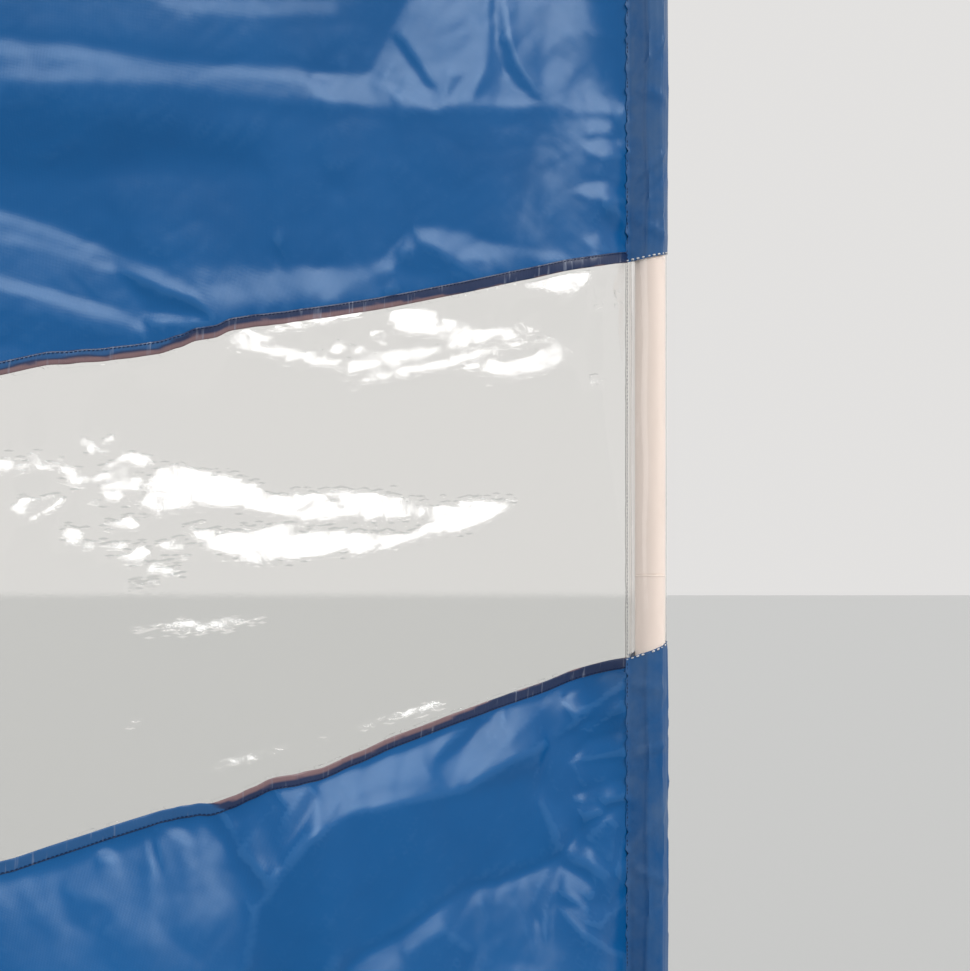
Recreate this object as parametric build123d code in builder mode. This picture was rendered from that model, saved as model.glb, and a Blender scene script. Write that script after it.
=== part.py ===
"""Beach windbreak: a long sheet with a clear window band, held up by sectional tube poles.

Millimetres, +Z up. The origin is at ground level, on the foot of the first end pole; the bays run
off from it along -X, and -Y is the front. Everything is drawn from the ground upwards: the pointed
ends of the poles, which are pushed into it, are left out.
"""

import os
from math import asin, cos, degrees, radians, tan

from build123d import *

os.makedirs("parts", exist_ok=True)

# Layout of the row
bay_count = 3
bay_pitch = 1500.0
ground_clearance = 18.0

# Heights of the three bands of the sheet
lower_band_height = 420.0
window_height = 325.0
upper_band_height = 455.0

# How the slack sheet hangs: straight flanks down from each pole, round at the middle of the bay
flank_angle = 13.77
sag_bend_radius = 800.0
peak_bend_radius = 60.0
billow_depth = 45.0

# Sheet, drawn thicker than the real 0.2 mm cloth and 0.4 mm film
cloth_thickness = 1.2
film_thickness = 1.2
hem_thickness = 0.8
window_hem_width = 8.0
window_hem_overlap = 1.0
edge_hem_width = 16.0

# Poles
tube_diameter = 25.0
tube_wall = 0.8
pole_rise = 22.0
joint_height = 662.5
foot_wall = 3.0

# Push-fit joint between the two lengths of a pole
lip_step = 0.35
lip_height = 2.2
spigot_length = 60.0
spigot_clearance = 0.1
spigot_wall = 0.8
shoulder_chamfer = 0.6
neck_length = 4.0

# Pole cap
cap_overhang = 2.5
cap_rim_height = 4.0
cap_bevel = 3.0
cap_plug_length = 20.0

# Sleeves
sleeve_ease = 0.15
end_seam_reach = 24.0
inner_seam_reach = 28.0
seam_width = 5.0
pinch_size = 0.2
seat_clearance = 0.2

# Worked out from the sizes above
flank_slope = tan(radians(flank_angle))
sag = flank_slope * bay_pitch / 2 - sag_bend_radius * (1 / cos(radians(flank_angle)) - 1)
sheet_foot = ground_clearance + sag
window_foot = sheet_foot + lower_band_height
window_head = window_foot + window_height
sheet_head = window_head + upper_band_height
pole_height = sheet_head + pole_rise

tube_radius = tube_diameter / 2
bore_radius = tube_radius - tube_wall
spigot_radius = bore_radius - spigot_clearance
pocket_radius = tube_radius + lip_step + sleeve_ease
pole_positions = [-k * bay_pitch for k in range(bay_count + 1)]
last_pole = bay_count
overhang = 2 * tube_diameter
tall = sheet_head + overhang
deep = billow_depth + tube_diameter


def seam_reaches(pole):
    """Distances from the pole's axis to its seams, to the left and to the right; None has no seam."""
    if pole == 0:
        return end_seam_reach, None
    if pole == last_pole:
        return None, end_seam_reach
    return inner_seam_reach, inner_seam_reach


def hang_corners(height):
    """Corners of a line of the sheet that crosses each pole's axis at this height."""
    rise = flank_slope * overhang
    corners = [(pole_positions[0] + overhang, height + rise)]
    for bay in range(bay_count):
        corners.append((pole_positions[bay] - bay_pitch / 2, height - flank_slope * bay_pitch / 2))
        if bay + 1 < last_pole:
            corners.append((pole_positions[bay + 1], height))
    corners.append((pole_positions[-1] - overhang, height + rise))
    return corners


def hang_radii():
    """Bend radii for those corners: wide at mid-bay and small at each inner pole."""
    radii = [sag_bend_radius, peak_bend_radius] * bay_count
    return radii[:-1]


def band(low, high):
    """Front view of the sheet between two hanging lines, on a plane behind all of it."""
    with BuildSketch(Plane.XZ.offset(-deep)) as outline:
        with BuildLine():
            lower = FilletPolyline(*hang_corners(low), radius=hang_radii())
            upper = FilletPolyline(*hang_corners(high), radius=hang_radii())
            Line(lower @ 0, upper @ 0)
            Line(lower @ 1, upper @ 1)
        make_face()
    return outline.sketch


def bay_ends(bay):
    """Where a bay's sheet starts and stops between the seams of its two poles."""
    start = pole_positions[bay + 1] + seam_reaches(bay + 1)[1] + seat_clearance
    stop = pole_positions[bay] - seam_reaches(bay)[0] - seat_clearance
    return start, stop


def bay_layer(bay, inward, outward):
    """Plan view of one layer of a billowing bay, from inward to outward of the sheet's middle line."""
    start, stop = bay_ends(bay)
    half_chord = (stop - start) / 2
    radius = (half_chord**2 + billow_depth**2) / (2 * billow_depth)
    centre = ((start + stop) / 2, radius - billow_depth)
    half_angle = degrees(asin(half_chord / radius))
    with BuildSketch() as layer:
        with BuildLine():
            front = CenterArc(centre, radius + outward, -90 - half_angle, 2 * half_angle)
            back = CenterArc(centre, radius + inward, -90 - half_angle, 2 * half_angle)
            Line(front @ 0, back @ 0)
            Line(front @ 1, back @ 1)
        make_face()
    return layer.sketch


def make_sheet(label, bay, thickness, low, high):
    """One band of one bay: the billow in plan, cut to the hanging outline."""
    with BuildPart() as sheet:
        add(bay_layer(bay, -thickness / 2, thickness / 2))
        extrude(amount=tall)
        add(band(low, high))
        extrude(amount=2 * deep, dir=(0, -1, 0), mode=Mode.INTERSECT)
    sheet.part.label = label
    export_step(sheet.part, f"parts/{label}.step")


def make_hem(label, low, high):
    """A sewn strip that lies on the front of the cloth in every bay."""
    with BuildPart() as hem:
        for bay in range(bay_count):
            add(bay_layer(bay, cloth_thickness / 2, cloth_thickness / 2 + hem_thickness))
        extrude(amount=tall)
        add(band(low, high))
        extrude(amount=2 * deep, dir=(0, -1, 0), mode=Mode.INTERSECT)
    hem.part.label = label
    export_step(hem.part, f"parts/{label}.step")


def make_sleeve(label, pole, thickness, bands):
    """The sheet wrapped round a pole and stitched flat beside it, cut to the hanging outline."""
    x = pole_positions[pole]
    left, right = seam_reaches(pole)
    seams = [(-1, left), (1, right)]
    seams = [(side, reach) for side, reach in seams if reach is not None]
    with BuildSketch() as pocket:
        with Locations((x, 0)):
            Circle(pocket_radius)
        for side, reach in seams:
            with Locations((x + side * (reach - seam_width), 0)):
                Rectangle(pinch_size, pinch_size)
        make_hull()
    with BuildSketch() as wall:
        with Locations((x, 0)):
            Circle(pocket_radius + thickness)
        for side, reach in seams:
            with Locations((x + side * (reach - seam_width / 2), 0)):
                Rectangle(seam_width, 2 * thickness)
        make_hull()
        add(pocket.sketch, mode=Mode.SUBTRACT)
    with BuildPart() as sleeve:
        add(wall.sketch)
        extrude(amount=tall)
        for low, high in bands:
            add(band(low, high))
        extrude(amount=2 * deep, dir=(0, -1, 0), mode=Mode.INTERSECT)
    sleeve.part.label = label
    export_step(sleeve.part, f"parts/{label}.step")


def make_pole_lower(label, x):
    """Lower length of a pole: a tube with a rolled bead on top, closed where its driving point starts."""
    with BuildPart() as lower:
        with BuildSketch(Plane.XZ.shift_origin((x, 0, 0))):
            with BuildLine():
                Polyline(
                    (0, 0),
                    (tube_radius, 0),
                    (tube_radius, joint_height - lip_height),
                    (tube_radius + lip_step, joint_height - lip_height / 2),
                    (tube_radius, joint_height),
                    (bore_radius, joint_height),
                    (bore_radius, foot_wall),
                    (0, foot_wall),
                    close=True,
                )
            make_face()
        revolve(axis=Axis((x, 0, 0), (0, 0, 1)))
    lower.part.label = label
    export_step(lower.part, f"parts/{label}.step")


def make_pole_upper(label, x):
    """Upper length of a pole: its swaged spigot pushes down into the lower length."""
    with BuildPart() as upper:
        with BuildSketch(Plane.XZ.shift_origin((x, 0, 0))):
            with BuildLine():
                Polyline(
                    (spigot_radius - spigot_wall, joint_height - spigot_length),
                    (spigot_radius, joint_height - spigot_length),
                    (spigot_radius, joint_height),
                    (tube_radius - shoulder_chamfer, joint_height),
                    (tube_radius, joint_height + shoulder_chamfer),
                    (tube_radius, pole_height),
                    (bore_radius, pole_height),
                    (bore_radius, joint_height + neck_length),
                    (spigot_radius - spigot_wall, joint_height),
                    close=True,
                )
            make_face()
        revolve(axis=Axis((x, 0, 0), (0, 0, 1)))
    upper.part.label = label
    export_step(upper.part, f"parts/{label}.step")


def make_pole_caps(label):
    """Moulded caps, one on each pole: a bevelled head on the tube's rim and a plug inside its bore."""
    head_radius = tube_radius + cap_overhang
    rim_top = pole_height + cap_rim_height
    with BuildPart() as caps:
        for x in pole_positions:
            with BuildSketch(Plane.XZ.shift_origin((x, 0, 0))):
                with BuildLine():
                    Polyline(
                        (0, pole_height - cap_plug_length),
                        (spigot_radius, pole_height - cap_plug_length),
                        (spigot_radius, pole_height),
                        (head_radius, pole_height),
                        (head_radius, rim_top),
                        (head_radius - cap_bevel, rim_top + cap_bevel),
                        (0, rim_top + cap_bevel),
                        close=True,
                    )
                make_face()
            revolve(axis=Axis((x, 0, 0), (0, 0, 1)))
    caps.part.label = label
    export_step(caps.part, f"parts/{label}.step")


# Poles, numbered from the first end
for pole, x in enumerate(pole_positions):
    make_pole_lower(f"pole_{pole + 1}_lower", x)
    make_pole_upper(f"pole_{pole + 1}_upper", x)
make_pole_caps("pole_caps")

# Sleeves: blue cloth above and below, clear film between
cloth_bands = [(sheet_foot, window_foot), (window_head, sheet_head)]
for pole in range(bay_count + 1):
    make_sleeve(f"sleeve_{pole + 1}", pole, cloth_thickness, cloth_bands)
    make_sleeve(f"window_sleeve_{pole + 1}", pole, film_thickness, [(window_foot, window_head)])

# Bays of the sheet
for bay in range(bay_count):
    make_sheet(f"lower_cloth_{bay + 1}", bay, cloth_thickness, sheet_foot, window_foot)
    make_sheet(f"window_{bay + 1}", bay, film_thickness, window_foot, window_head)
    make_sheet(f"upper_cloth_{bay + 1}", bay, cloth_thickness, window_head, sheet_head)

# Hems: the window's two sewn edges and the turned edges of the whole sheet
make_hem("window_hem_lower", window_foot - window_hem_width, window_foot + window_hem_overlap)
make_hem("window_hem_upper", window_head - window_hem_overlap, window_head + window_hem_width)
make_hem("foot_hem", sheet_foot, sheet_foot + edge_hem_width)
make_hem("head_hem", sheet_head - edge_hem_width, sheet_head)
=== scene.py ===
"""Looks of the beach windbreak: coated blue nylon, clear film and cream tube poles. Metres, +Z up.

Folds are laid out as on a cutting table, in millimetres: the distance from the axis of the pole on
the right, and the height above the window's lower hem.
"""

import math

import bpy
import numpy as np
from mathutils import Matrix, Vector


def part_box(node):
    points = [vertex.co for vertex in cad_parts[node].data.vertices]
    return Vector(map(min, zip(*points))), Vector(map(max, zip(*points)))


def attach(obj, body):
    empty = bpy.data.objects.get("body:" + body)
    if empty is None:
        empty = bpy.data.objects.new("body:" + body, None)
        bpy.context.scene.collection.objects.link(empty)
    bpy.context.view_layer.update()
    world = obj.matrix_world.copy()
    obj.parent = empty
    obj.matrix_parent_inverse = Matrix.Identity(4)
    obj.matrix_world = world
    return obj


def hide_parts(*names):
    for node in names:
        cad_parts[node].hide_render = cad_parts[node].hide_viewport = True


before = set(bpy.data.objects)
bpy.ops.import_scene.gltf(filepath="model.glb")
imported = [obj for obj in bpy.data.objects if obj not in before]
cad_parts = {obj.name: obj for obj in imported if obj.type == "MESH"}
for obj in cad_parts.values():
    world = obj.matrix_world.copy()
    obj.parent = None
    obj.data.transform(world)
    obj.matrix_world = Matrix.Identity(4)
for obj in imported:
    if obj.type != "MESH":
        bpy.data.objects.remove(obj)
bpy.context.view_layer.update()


# Poles: steel tube in two lengths with a smooth cream powder coat. The upper length is swaged at its
# foot and pushed into the lower one, which ends in a rolled bead that catches the light.
coat_cream = (0.90, 0.77, 0.70, 1.0)
coat_scuffed = (0.82, 0.68, 0.60, 1.0)
coat_peel_scale = 900.0


def new_finish(name):
    """A new material with its node tree and its Principled shader."""
    material = bpy.data.materials.new(name)
    material.use_nodes = True
    return material, material.node_tree, material.node_tree.nodes["Principled BSDF"]


def set_values(node, values):
    """Sets the values of a node's own sockets."""
    for socket, value in values.items():
        node.inputs[socket].default_value = value


def add_node(tree, kind, values=None, **settings):
    """Adds a shader node with its settings and the values of its own sockets."""
    node = tree.nodes.new(kind)
    for setting, value in settings.items():
        setattr(node, setting, value)
    set_values(node, values or {})
    return node


def wire(source, output, target, socket):
    """Joins one node's output to a socket of another."""
    source.id_data.links.new(source.outputs[output], target.inputs[socket])


def emboss(source, output, shader, strength, distance):
    """Raises a surface by the value of a pattern."""
    bump = add_node(shader.id_data, "ShaderNodeBump", {"Strength": strength, "Distance": distance})
    wire(source, output, bump, "Height")
    wire(bump, "Normal", shader, "Normal")


def two_tone(tree, pattern, low, high, dark, light):
    """Colours that run from dark to light as a pattern's value goes from low to high."""
    ramp = add_node(tree, "ShaderNodeValToRGB")
    ramp.color_ramp.elements[0].position = low
    ramp.color_ramp.elements[0].color = dark
    ramp.color_ramp.elements[1].position = high
    ramp.color_ramp.elements[1].color = light
    tree.links.new(pattern, ramp.inputs["Fac"])
    return ramp.outputs["Color"]


def pole_coat_finish():
    """Cream powder coat with a faint peel and a few scuffs."""
    material, tree, shader = new_finish("cream_powder_coat")
    place = add_node(tree, "ShaderNodeTexCoord")
    scuffs = add_node(tree, "ShaderNodeTexNoise", {"Scale": 9.0, "Detail": 6.0, "Roughness": 0.7})
    peel = add_node(tree, "ShaderNodeTexNoise", {"Scale": coat_peel_scale, "Detail": 1.0})
    wire(place, "Object", scuffs, "Vector")
    wire(place, "Object", peel, "Vector")
    emboss(peel, "Fac", shader, 0.04, 0.0003)
    colour = two_tone(tree, scuffs.outputs["Fac"], 0.25, 0.45, coat_scuffed, coat_cream)
    tree.links.new(colour, shader.inputs["Base Color"])
    set_values(shader, {"Roughness": 0.42, "Coat Weight": 0.15, "Coat Roughness": 0.25})
    return material


pole_coat = pole_coat_finish()
pole_numbers = (1, 2, 3, 4)
end_poles = (1, 4)
pole_names = [f"pole_{number}" for number in pole_numbers]
for pole in pole_names:
    for length in ("lower", "upper"):
        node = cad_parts[f"{pole}_{length}"]
        node.data.materials.clear()
        node.data.materials.append(pole_coat)


# Pole caps: injection-moulded plugs with a domed head that overhangs the tube, one on each pole.
# Their edge is rounded, and the plug below the head is hidden in the tube.
cap_edge = 0.0022
cap_dome_rise = 0.0020
cap_colour = (0.80, 0.69, 0.61, 1.0)


def middle(node):
    """The middle of a node of the frame, seen from above."""
    low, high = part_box(node)
    return (low.x + high.x) / 2, (low.y + high.y) / 2


def make_cap(x, y, foot, rim_top, radius):
    """One cap head: a short turned block with a rounded edge and a slightly domed top."""
    bpy.ops.object.select_all(action="DESELECT")
    bpy.ops.mesh.primitive_cylinder_add(
        vertices=48, radius=radius, depth=rim_top - foot, location=(x, y, (rim_top + foot) / 2), end_fill_type="TRIFAN"
    )
    cap = bpy.context.object
    bpy.ops.object.transform_apply(location=True, rotation=False, scale=False)
    for point in cap.data.vertices:
        if math.hypot(point.co.x - x, point.co.y - y) < radius / 2 and point.co.z > (rim_top + foot) / 2:
            point.co.z += cap_dome_rise
    bpy.ops.object.modifier_add(type="BEVEL")
    cap.modifiers["Bevel"].width = cap_edge
    cap.modifiers["Bevel"].segments = 4
    cap.modifiers["Bevel"].angle_limit = math.radians(50)
    bpy.ops.object.modifier_apply(modifier="Bevel")
    bpy.ops.object.shade_smooth_by_angle(angle=math.radians(40))
    return cap


def pick(*pieces):
    """Selects these pieces alone and makes the first one active."""
    bpy.ops.object.select_all(action="DESELECT")
    for piece in pieces:
        piece.select_set(True)
    bpy.context.view_layer.objects.active = pieces[0]


def join(pieces, name):
    """Joins pieces into one mesh whose object sits at the origin."""
    pick(*pieces)
    if len(pieces) > 1:
        bpy.ops.object.join()
    joined = bpy.context.object
    joined.name = joined.data.name = name
    return joined


def cap_finish():
    """Moulded plastic, slightly grained."""
    material, tree, shader = new_finish("cap_plastic")
    place = add_node(tree, "ShaderNodeTexCoord")
    grain = add_node(tree, "ShaderNodeTexNoise", {"Scale": 1500.0, "Detail": 2.0})
    wire(place, "Object", grain, "Vector")
    emboss(grain, "Fac", shader, 0.15, 0.0002)
    set_values(shader, {"Base Color": cap_colour, "Roughness": 0.5})
    return material


cap_low, cap_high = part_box("pole_caps")
pole_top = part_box("pole_1_upper")[1].z
cap_radius = (cap_high.y - cap_low.y) / 2
caps = [make_cap(*middle(f"{pole}_upper"), pole_top, cap_high.z - cap_dome_rise, cap_radius) for pole in pole_names]
cap_heads = join(caps, "moulded_pole_caps")
cap_heads.data.materials.append(cap_finish())
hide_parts("pole_caps")
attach(cap_heads, "root")


# The sheet hangs slack in three bays between four poles. Each line of it falls from a pole at one
# slope and bends round at mid-bay, and each bay bows a little towards the front.
bay_pitch = 1.5
flank_angle = math.radians(13.77)
sag_bend_radius = 0.8
peak_bend_radius = 0.06
billow_depth = 0.045
lower_band_height = 0.42
window_height = 0.325
upper_band_height = 0.455
bay_numbers = (1, 2, 3)
pole_x = [middle(f"{pole}_lower")[0] for pole in pole_names]
flank_slope = math.tan(flank_angle)
bend_lift = 1 / math.cos(flank_angle) - 1
lowest_drop = flank_slope * bay_pitch / 2 - sag_bend_radius * bend_lift
window_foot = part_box("window_1")[0].z + lowest_drop
seam_lap = 0.0035


def hang_drop(x):
    """How far the lines of the sheet have fallen below their height at the pole axes."""
    along = -x
    from_pole = np.abs(along - bay_pitch * np.round(along / bay_pitch))
    from_middle = bay_pitch / 2 - from_pole
    drop = flank_slope * from_pole
    round_foot = lowest_drop - sag_bend_radius + np.sqrt(np.maximum(sag_bend_radius**2 - from_middle**2, 0))
    drop = np.where(from_middle < sag_bend_radius * math.sin(flank_angle), round_foot, drop)
    round_peak = peak_bend_radius * (1 + bend_lift) - np.sqrt(np.maximum(peak_bend_radius**2 - from_pole**2, 0))
    inner_pole = (along > bay_pitch / 2) & (along < -pole_x[-1] - bay_pitch / 2)
    drop = np.where(inner_pole & (from_pole < peak_bend_radius * math.sin(flank_angle)), round_peak, drop)
    past_end = np.maximum(-along, along + pole_x[-1])
    return np.where(past_end > 0, -flank_slope * past_end, drop)


def bay_seams(bay):
    """Where a bay's cloth meets the seams beside its right-hand and left-hand poles."""
    low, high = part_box(f"window_{bay}")
    return high.x, low.x


def billow(bay, x):
    """How far a bay's cloth stands back from the pole line; it lies on that line at its seams."""
    right, left = bay_seams(bay)
    half = (right - left) / 2
    radius = (half**2 + billow_depth**2) / (2 * billow_depth)
    return radius - billow_depth - np.sqrt(radius**2 - (np.clip(x, left, right) - (right + left) / 2) ** 2)


# Folds: the relief of a bay is worked on a fine table of points. Each facet leans the sheet inside an
# outline; up is how steeply it leans upwards there, and side how steeply it turns to the right.
table_step = 0.00125
table_low = -lower_band_height
table_high = window_height + upper_band_height
side_say = 0.15
cloth_crease_depth = 0.00010
cloth_gather_depth = 0.00003
film_crinkle_depth = 0.00009
film_fold_jag = 0.0011


def bay_table(bay):
    """The points of a bay's table: distances from the right-hand pole's axis, and heights."""
    right, left = bay_seams(bay)
    reach = pole_x[bay - 1] - right
    columns = int(round((right - left) / table_step)) + 1
    rows = int(round((table_high - table_low) / table_step)) + 1
    distances = np.linspace(reach, reach + right - left, columns)
    return np.meshgrid(distances, np.linspace(table_low, table_high, rows), indexing="ij")


def ease(value):
    """Goes smoothly from 0 to 1 as the value does."""
    eased = np.clip(value, 0.0, 1.0)
    return eased * eased * (3 - 2 * eased)


def facet(lean, along, above, jag, up, side, soft, outline):
    """Adds a lean inside an outline of (distance, height) with a soft edge, all in millimetres; jag is
    how far the outline is out of place at each point."""
    corners = np.array(outline) / 1000
    soft = soft / 1000
    low, high = corners.min(axis=0) - soft, corners.max(axis=0) + soft
    columns = slice(*np.searchsorted(along[:, 0], (low[0], high[0])))
    rows = slice(*np.searchsorted(above[0], (low[1], high[1])))
    d, h = along[columns, rows] + jag[columns, rows], above[columns, rows] - jag[columns, rows]
    inside = np.zeros(d.shape, dtype=bool)
    distance = np.full(d.shape, 1.0)
    for (d0, h0), (d1, h1) in zip(corners, np.roll(corners, -1, axis=0)):
        run, rise = d1 - d0, h1 - h0
        share = np.clip(((d - d0) * run + (h - h0) * rise) / (run**2 + rise**2), 0, 1)
        distance = np.minimum(distance, np.hypot(d - d0 - share * run, h - h0 - share * rise))
        if rise:
            inside ^= ((h0 > h) != (h1 > h)) & (d < d0 + run * (h - h0) / rise)
    weight = ease(np.where(inside, distance, -distance) / soft + 0.5)
    lean[0][columns, rows] += side * weight
    lean[1][columns, rows] -= up * weight


def relief_from_lean(lean):
    """The relief, level at the table's edges, that comes closest to the lean; side_say is how much a
    lean to the side counts against one upwards."""
    source = side_say * np.gradient(lean[0], table_step, axis=0) + np.gradient(lean[1], table_step, axis=1)
    source = source[1:-1, 1:-1]
    columns, rows = source.shape
    mirrored = np.zeros((2 * columns + 2, 2 * rows + 2))
    mirrored[1 : columns + 1, 1 : rows + 1] = source
    mirrored[columns + 2 :, 1 : rows + 1] = -source[::-1]
    mirrored[:, rows + 2 :] = -mirrored[:, rows:0:-1]
    waves = [2 * np.cos(2 * np.pi * np.arange(count) / count) - 2 for count in mirrored.shape]
    divisor = side_say * waves[0][:, None] + waves[1][None, :]
    divisor[0, 0] = 1.0
    relief = np.fft.ifft2(np.fft.fft2(mirrored) / divisor).real * table_step**2
    return np.pad(relief[1 : columns + 1, 1 : rows + 1], 1)


def ripple(random, shape, size, stretch, angle):
    """Random waves of about one size, drawn out along one direction; 1 away from 0 on average."""
    waves = np.fft.fft2(random.normal(size=shape))
    across_table = np.fft.fftfreq(shape[0], table_step)[:, None]
    up_table = np.fft.fftfreq(shape[1], table_step)[None, :]
    lengthwise = (across_table * math.cos(angle) + up_table * math.sin(angle)) * stretch
    crosswise = -across_table * math.sin(angle) + up_table * math.cos(angle)
    pitch = np.hypot(lengthwise, crosswise) * size
    field = np.fft.ifft2(waves * np.exp(-((pitch - 1) ** 2) * 4)).real
    return field / np.abs(field).mean()


def crumple(random, shape, size, stretch, angle):
    """Random creases in the same way; 0 in a crease, 1 on average."""
    return np.abs(ripple(random, shape, size, stretch, angle))


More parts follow.
